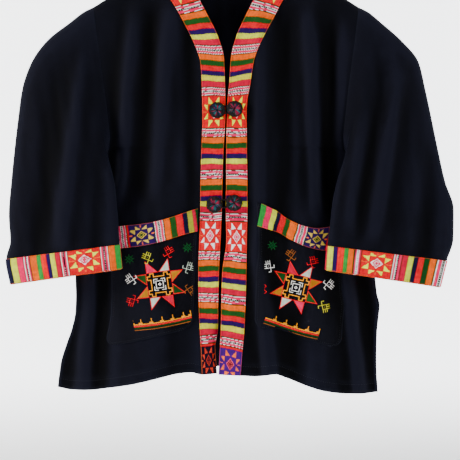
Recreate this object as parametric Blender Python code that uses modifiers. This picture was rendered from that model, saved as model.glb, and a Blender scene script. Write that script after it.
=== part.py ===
"""An embroidered jacket of dark cotton hanging on a plain wooden hanger. Blender 4.5, +Z up.

Lengths are in millimetres and become metres where a mesh is made. The origin is where the hanger's hook
rests on its rail. X runs to the viewer's right, +Y away from the viewer, and a drop is a distance below the
origin, so Z is minus the drop. Left and right are the viewer's.

The body is two wavy walls, front and back, that meet at the shoulders and the sides. A panel's points are
worked out for a share across, from the front edge to the side, and a share down, from shoulder to hem.
What is sewn on a panel takes the panel's own points, moved out along its normals.
"""

import math
from collections import namedtuple

import bpy
import numpy as np
from mathutils import Matrix, Vector

MM = 0.001

# Cloth
CLOTH = 1.5
RIBBON = 1.2
SEAM_GAP = 0.3
RIM_GAP = 0.8
UNDERARM_ROOM = 4.0
HEEL = 38.0
LAYER_GAP = 0.45

# Body
BODY_DEPTH = 34.0
DEPTH_REACH = 110.0
SHOULDER_ROUND = 7.0
SIDE_ROUND = 4.0
SIDE_TAPER = 140.0
NECK_HALF = 77.0
BACK_NECK_DIP = 14.0
ARMHOLE_DEPTH = 24.0

# Rosette fastenings
ROSETTE_RADIUS = 14.6
ROSETTE_STEM = 5.0
ROSETTE_STEPS = 16
LOOP_CORD = 1.1
LOOP_HEIGHT = 1.8

# Hanger
BAR_THICK = 9.0
BAR_GAP = 1.6
BAR_STEPS = 22
BAR_SIDES = 12
HOOK_WIRE = 1.8
HOOK_INNER = 20.0
HOOK_SHANK = 60.0
NECK_RIBBON = (41.0, 53.0)

Point = namedtuple("Point", "x drop")
Curve = namedtuple("Curve", "at values")
Fold = namedtuple("Fold", "x_top drop_top x_low drop_low width_top width_low height_top height_low")
Ring = namedtuple("Ring", "outer_x outer_drop inner_x inner_drop outer_y inner_y front back")
Section = namedtuple("Section", "x height")
Side = namedtuple("Side", "sign edge ribbon outer hem folds droop rings sleeve_folds underarm pocket")
Pocket = namedtuple("Pocket", "inner outer top ribbon_low bottom corner sag reach")

ARMHOLE_TOP = Point(239.0, 170.0)

# The cloth's top line from the middle of the hanger to the armhole: distance out, drop
SHOULDER = Curve((0, 30, 77, 140, 209, 239), (84, 87, 105, 127.5, 152, 170))

# How far the armhole bows towards the middle, by share of its height
ARMHOLE_BOW = Curve((0, 0.25, 0.45, 0.7, 0.9, 1.0), (0, 2.5, 4, 5, 4.5, 0))

# Heights of the panels' rows below the top of the armhole, which the sleeve's rings share
ARMHOLE_ROWS = (0, 0.9, 3.5, 7, 20, 40, 65, 92, 120, 148, 176, 202, 225, 240, 250, 255)

# Front edges: drop at the edge, then X of the edge and of the ribbon's outer side
EDGE_DROPS = (105, 130, 159, 195, 231, 270, 312, 345, 362, 447, 494, 526, 591, 650, 700, 753, 780, 830)
LEFT_EDGE = (-77, -66, -50, -31, -14, -3.5, -1.8, -0.9, -0.8, -5, -6.3, -7, -9.5, -12.6, -13.7, -15.3, -20, -17)
RIGHT_EDGE = (77, 67, 52, 34, 18, 8.5, 5.6, 2.6, 2, 0.4, 0.5, -0.6, 0.4, -6.6, -8.3, -9.4, -10.8, -13.3)
LEFT_RIBBON = (-127, -112, -94, -75, -57, -45, -42.4, -41.6, -41.4, -44, -45, -45.4, -47.3, -49, -48.4, -46.5, -45, -43)
RIGHT_RIBBON = (127, 113, 97, 79, 62, 49.5, 43, 37.5, 36.5, 37.6, 38.2, 38.3, 37.2, 36.2, 34.5, 32, 29.5, 25.5)

# Side seams below the armhole: drop, X
LEFT_SIDE = Curve((425, 450, 480, 520, 570, 620, 655, 690, 720, 750, 782, 812, 856),
                  (-211, -213, -221, -237, -255, -268, -272, -271, -272, -278, -289, -298, -303.5))
RIGHT_SIDE = Curve((425, 450, 480, 520, 570, 620, 665, 690, 708, 730, 760, 810, 865),
                   (213, 215, 222, 236, 253, 265, 270, 273, 277.5, 275.5, 272.5, 271.5, 273.5))

# Hems: X, drop
LEFT_HEM = Curve((-303.5, -276, -236, -209, -164, -119, -83, -62, -43, -17),
                 (856, 860.5, 860, 856, 848, 837, 829, 827, 831, 830))
RIGHT_HEM = Curve((-13.3, 27, 52, 85, 106, 146, 177, 217, 247, 273.5),
                  (831, 833, 834, 830, 837, 852.5, 862, 867, 867, 865))
BACK_HEM = Curve((-303.5, -230, -120, 0, 110, 210, 273.5), (856, 856, 834, 822, 832, 858, 865))

LEFT_FOLDS = (
    Fold(-160, 120, -196, 540, 20, 14, 12, 9),
    Fold(-132, 150, -152, 520, 15, 14, -8, -4),
    Fold(-96, 150, -128, 520, 18, 16, 9, 4),
    Fold(-66, 180, -62, 560, 14, 12, -5, -3),
    Fold(-250, 600, -262, 940, 16, 20, 6, 8),
    Fold(-219, 600, -226, 900, 12, 16, -7, -6),
    Fold(-118, 700, -150, 960, 30, 40, 4, 9),
    Fold(-10, 720, -10, 960, 17, 20, -14, -20),
)
RIGHT_FOLDS = (
    Fold(62, 150, 57, 640, 15, 13, 7, 8),
    Fold(56, 600, 84, 900, 14, 15, 8, 12),
    Fold(104, 120, 104, 600, 20, 18, -9, -6),
    Fold(144, 120, 163, 560, 16, 14, 11, 9),
    Fold(186, 120, 186, 560, 20, 14, -12, -9),
    Fold(212, 620, 250, 920, 15, 17, 8, 11),
    Fold(238, 560, 262, 800, 12, 12, -6, -6),
    Fold(122, 700, 116, 960, 22, 30, -5, -9),
)
BACK_FOLDS = (
    Fold(-196, 170, -236, 940, 20, 26, 6, 9),
    Fold(-128, 150, -150, 940, 24, 30, -5, -8),
    Fold(-66, 150, -74, 940, 24, 30, 6, 10),
    Fold(4, 180, -6, 940, 24, 28, -5, -8),
    Fold(72, 150, 78, 940, 24, 30, 6, 10),
    Fold(134, 150, 150, 940, 24, 28, -5, -8),
    Fold(196, 170, 226, 940, 20, 26, 6, 9),
)
LEFT_SLEEVE_FOLDS = (
    Fold(-252, 240, -296, 620, 14, 20, 5, 7),
    Fold(-300, 250, -338, 640, 20, 24, -3, -5),
    Fold(-222, 380, -228, 640, 14, 16, -3, -5),
)
RIGHT_SLEEVE_FOLDS = (
    Fold(318, 260, 258, 600, 14, 16, 6, 7),
    Fold(286, 260, 234, 560, 13, 14, -5, -4),
    Fold(256, 230, 214, 600, 14, 14, 4, 5),
    Fold(372, 420, 352, 640, 18, 22, -4, -5),
)

LEFT_RINGS = (
    Ring(-239, 170, -211, 425, 0, 0, 24, 24),
    Ring(-256, 179, -213, 440, -3, -15, 25, 19),
    Ring(-284, 201, -207, 457, -6, -24, 25, 16),
    Ring(-320, 230, -202, 476, -9, -32, 23, 13),
    Ring(-349, 270, -198, 495, -12, -37, 21, 11),
    Ring(-366, 320, -196, 515, -15, -40, 19, 8),
    Ring(-373, 374, -194, 534, -18, -43, 18, 8),
    Ring(-379, 430, -192, 552, -21, -45, 17, 8),
    Ring(-384, 486, -191, 568, -24, -46, 16, 8),
    Ring(-388, 544, -190, 583, -27, -47, 15, 9),
    Ring(-385, 592, -189, 593, -29, -48, 15, 9),
    Ring(-392, 625, -189, 599, -30, -48, 15, 10),
    Ring(-384, 669, -185, 641, -31, -49, 15, 10),
)
RIGHT_RINGS = (
    Ring(239, 170, 213, 425, 0, 0, 24, 24),
    Ring(256, 179, 216, 440, -3, -13, 25, 20),
    Ring(282, 201, 208, 457, -6, -24, 25, 16),
    Ring(316, 232, 201, 477, -9, -33, 23, 13),
    Ring(346, 270, 195, 498, -12, -38, 21, 11),
    Ring(358, 320, 191, 518, -15, -41, 19, 8),
    Ring(369, 374, 188, 537, -18, -44, 18, 8),
    Ring(380, 430, 186, 555, -21, -46, 17, 8),
    Ring(392, 486, 184, 570, -24, -47, 16, 8),
    Ring(407, 536, 182, 584, -27, -48, 15, 9),
    Ring(406, 588, 181, 593, -29, -49, 15, 9),
    Ring(394, 628, 180, 601, -30, -49, 15, 10),
    Ring(382, 674, 177, 643, -31, -50, 15, 10),
)

SIDES = {
    "left": Side(-1, LEFT_EDGE, LEFT_RIBBON, LEFT_SIDE, LEFT_HEM, LEFT_FOLDS, 0.0, LEFT_RINGS,
                 LEFT_SLEEVE_FOLDS, Point(-211, 425), Pocket(0.165, 0.735, 0.594, 0.649, 0.893, 22.0, 5.5, 0.11)),
    "right": Side(1, RIGHT_EDGE, RIGHT_RIBBON, RIGHT_SIDE, RIGHT_HEM, RIGHT_FOLDS, 32.0, RIGHT_RINGS,
                  RIGHT_SLEEVE_FOLDS, Point(213, 425), Pocket(0.215, 0.765, 0.575, 0.634, 0.885, 22.0, 19.5, 0.094)),
}
ROSETTES = {
    "upper": {"left": Point(-15.8, 359.7), "right": Point(15.4, 357.5)},
    "lower": {"left": Point(-20.6, 527.6), "right": Point(14.6, 524.8)},
}

# The hanger's bar: distance out from the middle, height of its section
BAR = (Section(0, 30), Section(60, 30), Section(140, 24), Section(206, 15))

MATERIALS = {
    "navy_cotton": ((0.012, 0.014, 0.027), 0.85, 0.0),
    "ribbon_weave": ((0.62, 0.10, 0.10), 0.8, 0.0),
    "pocket_cloth": ((0.008, 0.008, 0.011), 0.85, 0.0),
    "rosette_thread": ((0.02, 0.03, 0.045), 0.7, 0.0),
    "loop_cord": ((0.01, 0.01, 0.015), 0.7, 0.0),
    "hanger_wood": ((0.42, 0.27, 0.15), 0.5, 0.0),
    "hook_steel": ((0.6, 0.6, 0.62), 0.3, 1.0),
}


def smooth(at, knots, values):
    """Values on a smooth curve through the knots that never overshoots them."""
    knots = np.asarray(knots, float)
    values = np.asarray(values, float)
    step = np.diff(knots)
    slope = np.diff(values) / step
    tangent = np.zeros_like(values)
    tangent[0], tangent[-1] = slope[0], slope[-1]
    agree = slope[1:] * slope[:-1] > 0
    before = 2 * step[1:] + step[:-1]
    after = step[1:] + 2 * step[:-1]
    safe_low = np.where(agree, slope[:-1], 1.0)
    safe_high = np.where(agree, slope[1:], 1.0)
    tangent[1:-1] = np.where(agree, (before + after) / (before / safe_low + after / safe_high), 0.0)
    at = np.clip(at, knots[0], knots[-1])
    i = np.clip(np.searchsorted(knots, at, side="right") - 1, 0, len(step) - 1)
    t = (at - knots[i]) / step[i]
    rise = step[i]
    return (
        (1 + 2 * t) * (1 - t) ** 2 * values[i]
        + t * (1 - t) ** 2 * rise * tangent[i]
        + t * t * (3 - 2 * t) * values[i + 1]
        + t * t * (t - 1) * rise * tangent[i + 1]
    )


def ease(t):
    """0 below 0, 1 above 1, and a smooth step between."""
    t = np.clip(t, 0, 1)
    return t * t * (3 - 2 * t)


def round_over(length, radius):
    """(distance in, distance round) of a point this far along an edge that turns over with that radius."""
    angle = np.minimum(length / radius, math.pi / 2)
    past = np.maximum(length - radius * math.pi / 2, 0)
    return radius * (1 - np.cos(angle)) + past, radius * np.sin(angle)


def unrolled(distance_in, radius):
    """The length along such an edge at a distance in."""
    near = radius * np.arccos(1 - np.minimum(distance_in, radius) / radius)
    return near + np.maximum(distance_in - radius, 0)


def shoulder_drop(x):
    return smooth(np.abs(x), SHOULDER.at, SHOULDER.values)


def armhole(side, turn):
    """(x, drop, depth) of the armhole's edge, where turn runs from 0 at its top to pi at the underarm."""
    share = (1 - np.cos(turn)) / 2
    top = side.sign * ARMHOLE_TOP.x
    x = top + (side.underarm.x - top) * share - side.sign * smooth(share, ARMHOLE_BOW.at, ARMHOLE_BOW.values)
    drop = ARMHOLE_TOP.drop + (side.underarm.drop - ARMHOLE_TOP.drop) * share
    return x, drop, ARMHOLE_DEPTH * np.sin(turn)


def armhole_turns(side):
    """The turns at which the panels' rows meet the armhole."""
    height = side.underarm.drop - ARMHOLE_TOP.drop
    return np.arccos(1 - 2 * np.array(ARMHOLE_ROWS) / height)


def outer_edge(side, drop):
    """(x, depth) of a body panel's outer edge: the armhole, then the side seam."""
    turn = np.arccos(np.clip(1 - 2 * (drop - ARMHOLE_TOP.drop) / (side.underarm.drop - ARMHOLE_TOP.drop), -1, 1))
    hole_x, _, hole_depth = armhole(side, turn)
    below = drop > side.underarm.drop
    return np.where(below, smooth(drop, side.outer.at, side.outer.values), hole_x), np.where(below, 0, hole_depth)


def relief(folds, x, drop):
    """Height of the drape's ridges and troughs: each is a soft ridge along a slanting line."""
    height = np.zeros(np.broadcast(x, drop).shape)
    for fold in folds:
        along = (drop - fold.drop_top) / (fold.drop_low - fold.drop_top)
        share = np.clip(along, 0, 1)
        middle = fold.x_top + (fold.x_low - fold.x_top) * share
        width = fold.width_top + (fold.width_low - fold.width_top) * share
        rise = fold.height_top + (fold.height_low - fold.height_top) * share
        fade = ease(along / 0.18 + 0.25) * ease((1 - along) / 0.18 + 0.25)
        height += rise * fade * np.exp(-(((x - middle) / width) ** 2))
    return height


def body_depth(side, x, drop, length_down, folds):
    """How far the cloth stands from the middle plane at a place on the body."""
    below_top, turned = drop - shoulder_drop(x), round_over(length_down, SHOULDER_ROUND)[1]
    level = drop + (ARMHOLE_TOP.drop - shoulder_drop(x)) * np.exp(-below_top / 30)
    edge_x, edge_depth = outer_edge(side, drop)[0], outer_edge(side, level)[1]
    inside = np.maximum(side.sign * (edge_x - x), 0)
    full = turned + (BODY_DEPTH - SHOULDER_ROUND) * (1 - np.exp(-below_top / DEPTH_REACH))
    side_turn = SIDE_ROUND * np.sqrt(1 - (1 - np.minimum(inside / SIDE_ROUND, 1)) ** 2)
    down_armhole = (drop - ARMHOLE_TOP.drop) / (side.underarm.drop - ARMHOLE_TOP.drop)
    edge = np.hypot(edge_depth, side_turn * np.clip(down_armhole, 0, 1))
    depth = edge + (full - edge) * ease(inside / SIDE_TAPER)
    calm = (1 - np.exp(-((below_top / 70) ** 2))) * ease(inside / 34)
    return np.maximum(depth + calm * relief(folds, x, drop), RIM_GAP)


def side_lengths(width, from_side, down):
    """Distance in from the side for a share from it. Below the armhole the columns turn over the side seam."""
    extra = (math.pi / 2 - 1) * SIDE_ROUND
    turned = round_over(from_side * (width + extra), SIDE_ROUND)[0]
    return turned + (from_side * width - turned) * (1 - ease(down / 0.36))


def row_of(length, distance_down):
    """The share down of a row that lies this far below the top of a column of that length."""
    extra = (math.pi / 2 - 1) * SHOULDER_ROUND
    return unrolled(distance_down, SHOULDER_ROUND) / (length + extra)


def front_points(side, across, down):
    """Points of a front panel's middle surface, as an array of rows from shoulder to hem."""
    across, down = np.meshgrid(across, down)
    extra = (math.pi / 2 - 1) * SHOULDER_ROUND
    edge_drop = EDGE_DROPS[0] + down * (EDGE_DROPS[-1] - EDGE_DROPS[0])
    edge_x = smooth(edge_drop, EDGE_DROPS, side.edge)
    side_low = side.outer.at[-1] - ARMHOLE_TOP.drop
    side_drop = ARMHOLE_TOP.drop + round_over(down * (side_low + extra), SHOULDER_ROUND)[0]
    side_x = outer_edge(side, side_drop)[0] - side.sign * SEAM_GAP * (side_drop < side.underarm.drop)
    width = np.abs(side_x - edge_x)
    x = side_x - side.sign * side_lengths(width, 1 - across, down)
    top_x = side.sign * (NECK_HALF + (ARMHOLE_TOP.x - NECK_HALF) * across)
    low_x = side.edge[-1] + (side.outer.values[-1] - side.edge[-1]) * across
    top = shoulder_drop(top_x)
    length = smooth(low_x, side.hem.at, side.hem.values) - top
    length_down = down * (length + extra)
    sag = side.droop * np.sin(math.pi * down) ** 2 * (across - 0.44) * 4 * across * (1 - across)
    pocket = side.pocket
    pocket_share = np.clip((across - pocket.inner) / (pocket.outer - pocket.inner), 0, 1)
    sag = sag + pocket.sag * np.sin(math.pi * pocket_share) * np.exp(-((down - pocket.top) / pocket.reach) ** 2)
    drop = top + round_over(length_down, SHOULDER_ROUND)[0] + sag
    drop = np.maximum(drop, shoulder_drop(x))
    depth = body_depth(side, x, drop, length_down, side.folds)
    return np.stack([x, -depth, -drop], axis=-1)


def back_points(across, down):
    """Points of the back panel's middle surface. Across runs from the left side, 0, to the right side, 1."""
    left, right = SIDES["left"], SIDES["right"]
    across, down = np.meshgrid(across, down)
    extra = (math.pi / 2 - 1) * SHOULDER_ROUND
    edges = []
    for side in (left, right):
        low = side.outer.at[-1] - ARMHOLE_TOP.drop
        drop = ARMHOLE_TOP.drop + round_over(down * (low + extra), SHOULDER_ROUND)[0]
        edges.append(outer_edge(side, drop)[0] - side.sign * SEAM_GAP * (drop < side.underarm.drop))
    width = edges[1] - edges[0]
    from_side = side_lengths(width / 2, 1 - np.abs(1 - 2 * across), down)
    x = np.where(across < 0.5, edges[0] + from_side, edges[1] - from_side)
    top_x = -ARMHOLE_TOP.x + 2 * ARMHOLE_TOP.x * across
    dip = np.clip(1 - (np.abs(top_x) / NECK_HALF) ** 2, 0, 1)
    neck = shoulder_drop(NECK_HALF) + BACK_NECK_DIP * dip
    top = np.where(np.abs(top_x) < NECK_HALF, neck, shoulder_drop(top_x))
    low_x = BACK_HEM.at[0] + (BACK_HEM.at[-1] - BACK_HEM.at[0]) * across
    start = unrolled(top - shoulder_drop(top_x), SHOULDER_ROUND)
    length = smooth(low_x, BACK_HEM.at, BACK_HEM.values) - shoulder_drop(top_x)
    length_down = start + down * (length + extra - start)
    drop = np.maximum(shoulder_drop(top_x) + round_over(length_down, SHOULDER_ROUND)[0], shoulder_drop(x))
    halves = [body_depth(side, x, drop, length_down, BACK_FOLDS) for side in (left, right)]
    return np.stack([x, np.where(x < 0, halves[0], halves[1]), -drop], axis=-1)


def sleeve_points(side, rings, turns):
    """Points of a sleeve's middle surface: one row for each ring number, round by turns from 0 to two pi."""
    turn, ring = np.meshgrid(turns, rings)
    number = np.arange(len(side.rings))
    columns = [smooth(ring, number, [getattr(row, name) for row in side.rings]) for name in Ring._fields]
    outer_x, outer_drop, inner_x, inner_drop, outer_y, inner_y, front, back = columns
    share = (1 - np.cos(turn)) / 2
    fading = np.where(turn < math.pi, 1.6, 0.7)
    bow = smooth(share, ARMHOLE_BOW.at, ARMHOLE_BOW.values) * np.exp(-((ring / fading) ** 2))
    room = UNDERARM_ROOM * share**8 * np.exp(-ring / 1.2)
    heel = HEEL * share**6 * np.sqrt(1 - share) * ring / 1.2 * np.exp(1 - ring / 1.2)
    x = outer_x + (inner_x - outer_x) * share + side.sign * (room - bow + heel * (turn > math.pi))
    drop = outer_drop + (inner_drop - outer_drop) * share
    middle = outer_y + (inner_y - outer_y) * share ** (1 + 2.5 * np.exp(-ring / 3))
    swing = 1 - 0.3 * share * (1 - np.exp(-1.5 * ring))
    bulge = np.where(turn < math.pi, front, back * swing) * np.sin(turn)
    calm = np.abs(np.sin(turn)) * ease(ring / 3)
    facing = np.where(turn < math.pi, 1.0, -0.6)
    y = middle - bulge - facing * calm * relief(side.sleeve_folds, x, drop)
    return np.stack([x, y, -drop], axis=-1)


def normals_of(points, closed=False):
    """Unit normals of a grid of points, from its own rows and columns."""
    if closed:
        across = np.roll(points, -1, 1) - np.roll(points, 1, 1)
    else:
        across = np.gradient(points, axis=1)
    normal = np.cross(across, np.gradient(points, axis=0))
    return normal / np.maximum(np.linalg.norm(normal, axis=-1, keepdims=True), 1e-9)


def material(name):
    """The plain finish of that name."""
    found = bpy.data.materials.get(name)
    if found:
        return found
    colour, roughness, metallic = MATERIALS[name]
    made = bpy.data.materials.new(name)
    made.use_nodes = True
    shader = made.node_tree.nodes["Principled BSDF"]
    shader.inputs["Base Color"].default_value = (*colour, 1)
    shader.inputs["Roughness"].default_value = roughness
    shader.inputs["Metallic"].default_value = metallic
    made.diffuse_color = (*colour, 1)
    return made


def add_object(name, data, finish):
    made = bpy.data.objects.new(name, data)
    data.materials.append(material(finish))
    jacket.objects.link(made)
    return made


def grid_faces(rows, columns, closed=False):
    """Quads of a grid of points, the last column joined to the first when closed."""
    index = np.arange(rows * columns).reshape(rows, columns)
    right = np.roll(index, -1, 1)
    if not closed:
        index, right = index[:, :-1], right[:, :-1]
    return np.stack([index[:-1], index[1:], right[1:], right[:-1]], -1).reshape(-1, 4).tolist()


def add_wall(name, points, finish, thickness, closed=False):
    """A wall of cloth of that thickness about a grid of points."""
    rows, columns = points.shape[:2]
    mesh = bpy.data.meshes.new(name)
    mesh.from_pydata((points.reshape(-1, 3) * MM).tolist(), [], grid_faces(rows, columns, closed))
    mesh.shade_smooth()
    made = add_object(name, mesh, finish)
    wall = made.modifiers.new("Wall", "SOLIDIFY")
    wall.thickness = thickness * MM
    wall.offset = 0
    return made


def lift(layers):
    """Distance from a panel's middle surface to the middle of what lies on it, under these layers."""
    return CLOTH / 2 + LAYER_GAP + sum(layer + LAYER_GAP for layer in layers) + RIBBON / 2


def spaced(start, end, steps):
    """Evenly spaced shares, with the start left out."""
    return np.linspace(start, end, steps + 1)[1:]


def panel_rows(side, pocket):
    """Shares down of a panel's rows: the armhole's, then some at the pocket's edges, then the hem."""
    length = side.outer.at[-1] - ARMHOLE_TOP.drop
    armhole_rows = row_of(length, np.array(ARMHOLE_ROWS))
    return np.concatenate([
        armhole_rows,
        spaced(armhole_rows[-1], pocket.top, 5),
        spaced(pocket.top, pocket.ribbon_low, 2),
        spaced(pocket.ribbon_low, pocket.bottom, 6),
        spaced(pocket.bottom, 1.0, 3),
    ])


def build_front(name, side):
    """A front panel with its ribbon, pocket and pocket ribbon.

    Returns the panel's inward directions at the armhole, from the top down.
    """
    pocket = side.pocket
    columns = np.concatenate([
        [0, 0.5, 1.0],
        1 + spaced(0, 1, 1),
        2 + spaced(0, 1, 9),
        3 + spaced(0, 1, 3),
        4 + spaced(0, 1, 3),
    ])
    rows = panel_rows(side, pocket)
    edge_drop = EDGE_DROPS[0] + rows * (EDGE_DROPS[-1] - EDGE_DROPS[0])
    edge_x = smooth(edge_drop, EDGE_DROPS, side.edge)
    ribbon_x = smooth(edge_drop, EDGE_DROPS, side.ribbon)
    side_drop = ARMHOLE_TOP.drop + rows * (side.outer.at[-1] - ARMHOLE_TOP.drop)
    ribbon_share = (ribbon_x - edge_x) / (outer_edge(side, side_drop)[0] - edge_x)
    points = np.zeros((len(rows), len(columns), 3))
    for i, (row, share) in enumerate(zip(rows, ribbon_share)):
        inner = max(pocket.inner, share + 0.018)
        stations = np.interp(columns, (0, 1, 2, 3, 4, 5), (0, share, inner, max(pocket.outer, inner + 0.3), 0.968, 1.0))
        points[i] = front_points(side, stations, [row])[0]
    add_wall(f"front_{name}", points, "navy_cotton", CLOTH)
    normals = normals_of(points) * -side.sign
    add_wall(f"front_ribbon_{name}", (points + normals * lift(()))[:, :3], "ribbon_weave", RIBBON)

    first, last = list(columns).index(2), list(columns).index(3)
    row_at = [int(np.argmin(np.abs(rows - share))) for share in (pocket.top, pocket.ribbon_low, pocket.bottom)]
    bag = (points + normals * lift(()))[row_at[0]:row_at[2] + 1, first:last + 1].copy()
    round_corners(bag, pocket.corner)
    add_wall(f"pocket_{name}", bag, "pocket_cloth", RIBBON)
    trim = (points + normals * lift((RIBBON,)))[row_at[0]:row_at[1] + 1, first:last + 1]
    add_wall(f"pocket_ribbon_{name}", trim, "ribbon_weave", RIBBON)
    return (points[:, -6] - points[:, -1])[:len(ARMHOLE_ROWS)]


def round_corners(bag, radius):
    """Pulls the two lower corners of a pocket's points in, so that its outline is rounded there."""
    inset = radius * (1 - math.sqrt(0.5))
    for end, beside in ((0, 1), (-1, -2)):
        across = bag[-1, beside] - bag[-1, end]
        up = bag[-2, end] - bag[-1, end]
        bag[-1, end] += inset * (across / np.linalg.norm(across) + up / np.linalg.norm(up))


def build_back():
    """The back panel. Returns its inward directions at each armhole, from the underarm up."""
    half = np.concatenate([[0], spaced(0, 0.016, 3), spaced(0.016, 0.339, 9)])
    neck = 0.339 + 0.161 * np.array([0.03, 0.1, 0.25, 0.5, 0.75, 1.0])
    neck = np.concatenate([neck, 1 - neck[:-1][::-1], [0.661]])
    across = np.concatenate([half, neck, 1 - half[::-1][1:]])
    rows = panel_rows(SIDES["left"], SIDES["left"].pocket)
    points = back_points(across, rows)
    add_wall("back", points, "navy_cotton", CLOTH)
    last = len(ARMHOLE_ROWS) - 1
    return {
        "left": (points[:, 5] - points[:, 0])[1:last][::-1],
        "right": (points[:, -6] - points[:, -1])[1:last][::-1],
    }


def depth_at(side, x, drop, folds):
    """How far the cloth stands from the middle plane at a place given by X and drop alone."""
    return body_depth(side, x, drop, unrolled(np.maximum(drop - shoulder_drop(x), 0), SHOULDER_ROUND), folds)


def build_neck_ribbon():
    """The ribbon behind the neck. It fans out at its ends to meet the front ribbons at the shoulders."""
    half = np.array([0, 0.22, 0.45, 0.65, 0.8, 0.9, 0.95, 0.98, 1.0])
    along = np.concatenate([-half[::-1], half[1:]])
    share, out = np.meshgrid(along, np.linspace(0, 1, 4), indexing="ij")
    edge_x = NECK_HALF * share
    edge_drop = shoulder_drop(NECK_HALF) + BACK_NECK_DIP * (1 - share**2)
    turn = np.arctan2(NECK_HALF, 26) * np.sign(share) * np.abs(share) ** 1.5
    width = NECK_RIBBON[0] + (NECK_RIBBON[1] - NECK_RIBBON[0]) * np.abs(share)
    x = edge_x + out * width * np.sin(turn)
    drop = np.maximum(edge_drop + out * width * np.cos(turn), shoulder_drop(x))
    side = SIDES["left"]
    points = np.stack([x, depth_at(side, x, drop, BACK_FOLDS), -drop], axis=-1)
    normals = -normals_of(points)
    lifted = points + normals * (lift(()) + LAYER_GAP)
    lifted[:, :, 1] = np.maximum(lifted[:, :, 1], SEAM_GAP)
    add_wall("neck_ribbon", lifted, "ribbon_weave", RIBBON)


def unit(vectors):
    return vectors / np.linalg.norm(vectors, axis=-1, keepdims=True)


def seam_step(away, inward):
    """How far a sleeve's first ring stands off the armhole, so that the two walls stay clear of each other.

    The step is along the sleeve's first facet. It grows as the sleeve folds back over the body's panel,
    which runs inward from the seam.
    """
    cosine = (unit(away) * unit(inward)).sum(axis=-1, keepdims=True)
    sine = np.sqrt(1 - cosine**2)
    step = (SEAM_GAP + CLOTH / 2 * (1 + cosine)) / np.maximum(sine, 0.25) + SEAM_GAP
    return unit(away) * np.clip(step, 2 * SEAM_GAP, 4.0)


def build_sleeve(name, side, inward):
    """A sleeve and the ribbon round its cuff. Inward is the body's direction at the armhole's points."""
    turns = armhole_turns(side)
    turns = np.concatenate([turns, 2 * math.pi - turns[::-1][1:-1]])
    points = sleeve_points(side, np.arange(len(side.rings)), turns)
    points[0] += seam_step(points[1] - points[0], inward)
    add_wall(f"sleeve_{name}", points, "navy_cotton", CLOTH, closed=True)
    normals = normals_of(points, closed=True) * side.sign
    cuff = points[-2:] + normals[-2:] * lift(())
    add_wall(f"cuff_ribbon_{name}", cuff, "ribbon_weave", RIBBON, closed=True)


def place_on(made, foot, normal):
    """Turns an object's +Z along the normal and stands it at the foot."""
    turn = Vector(normal).to_track_quat("Z", "X").to_matrix().to_4x4()
    made.matrix_world = Matrix.Translation(Vector(foot) * MM) @ turn


def rosette_mesh():
    """A gathered rosette, turned: a puffed disc on a narrow stem, with a dimple in its middle."""
    profile = (
        (0, 7.0), (3, 8.4), (7.5, 10.2), (11, 9.6), (13.6, 7.9), (ROSETTE_RADIUS, 6.0),
        (12.6, 4.6), (9.5, 3.9), (ROSETTE_STEM, 3.2), (ROSETTE_STEM, 0), (0, 0),
    )
    mesh = bpy.data.meshes.new("rosette")
    points = [(radius * MM, 0, height * MM) for radius, height in profile]
    mesh.from_pydata(points, [(i, i + 1) for i in range(len(points) - 1)], [])
    return mesh


def add_tube(name, path, radius, finish, closed=False):
    """A round tube along a path of points."""
    curve = bpy.data.curves.new(name, "CURVE")
    curve.dimensions = "3D"
    curve.bevel_depth = radius * MM
    curve.bevel_resolution = 2
    curve.use_fill_caps = True
    line = curve.splines.new("POLY")
    line.points.add(len(path) - 1)
    for point, place in zip(line.points, path):
        point.co = (*(np.array(place) * MM), 1)
    line.use_cyclic_u = closed
    return add_object(name, curve, finish)


def build_fastenings():
    """Two pairs of rosettes on the front ribbons, and the cord that loops round the stems of each pair."""
    ring = np.linspace(0, 2 * math.pi, 12, endpoint=False)
    for level, pair in ROSETTES.items():
        feet = {}
        for name, place in pair.items():
            side = SIDES[name]
            x = place.x + ROSETTE_STEM * np.cos(ring)
            drop = place.drop + ROSETTE_STEM * np.sin(ring)
            ribbon_top = CLOTH / 2 + LAYER_GAP + RIBBON
            feet[name] = -(depth_at(side, x, drop, side.folds).max() + ribbon_top + LAYER_GAP)
            made = add_object(f"rosette_{level}_{name}", rosette_mesh(), "rosette_thread")
            place_on(made, (place.x, feet[name], -place.drop), (0, -1, 0))
            turned = made.modifiers.new("Turned", "SCREW")
            turned.steps = turned.render_steps = ROSETTE_STEPS
            turned.use_merge_vertices = True
            turned.merge_threshold = 0.0001
            turned.use_normal_calculate = True
        reach = ROSETTE_STEM + LOOP_CORD + SEAM_GAP
        path = []
        for name, first in (("right", -math.pi / 2), ("left", math.pi / 2)):
            place = pair[name]
            for angle in np.linspace(first, first + math.pi, 9):
                path.append((place.x + reach * math.cos(angle), feet[name] - LOOP_HEIGHT,
                             -place.drop + reach * math.sin(angle)))
        add_tube(f"loop_{level}", path, LOOP_CORD, "loop_cord", closed=True)


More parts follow.
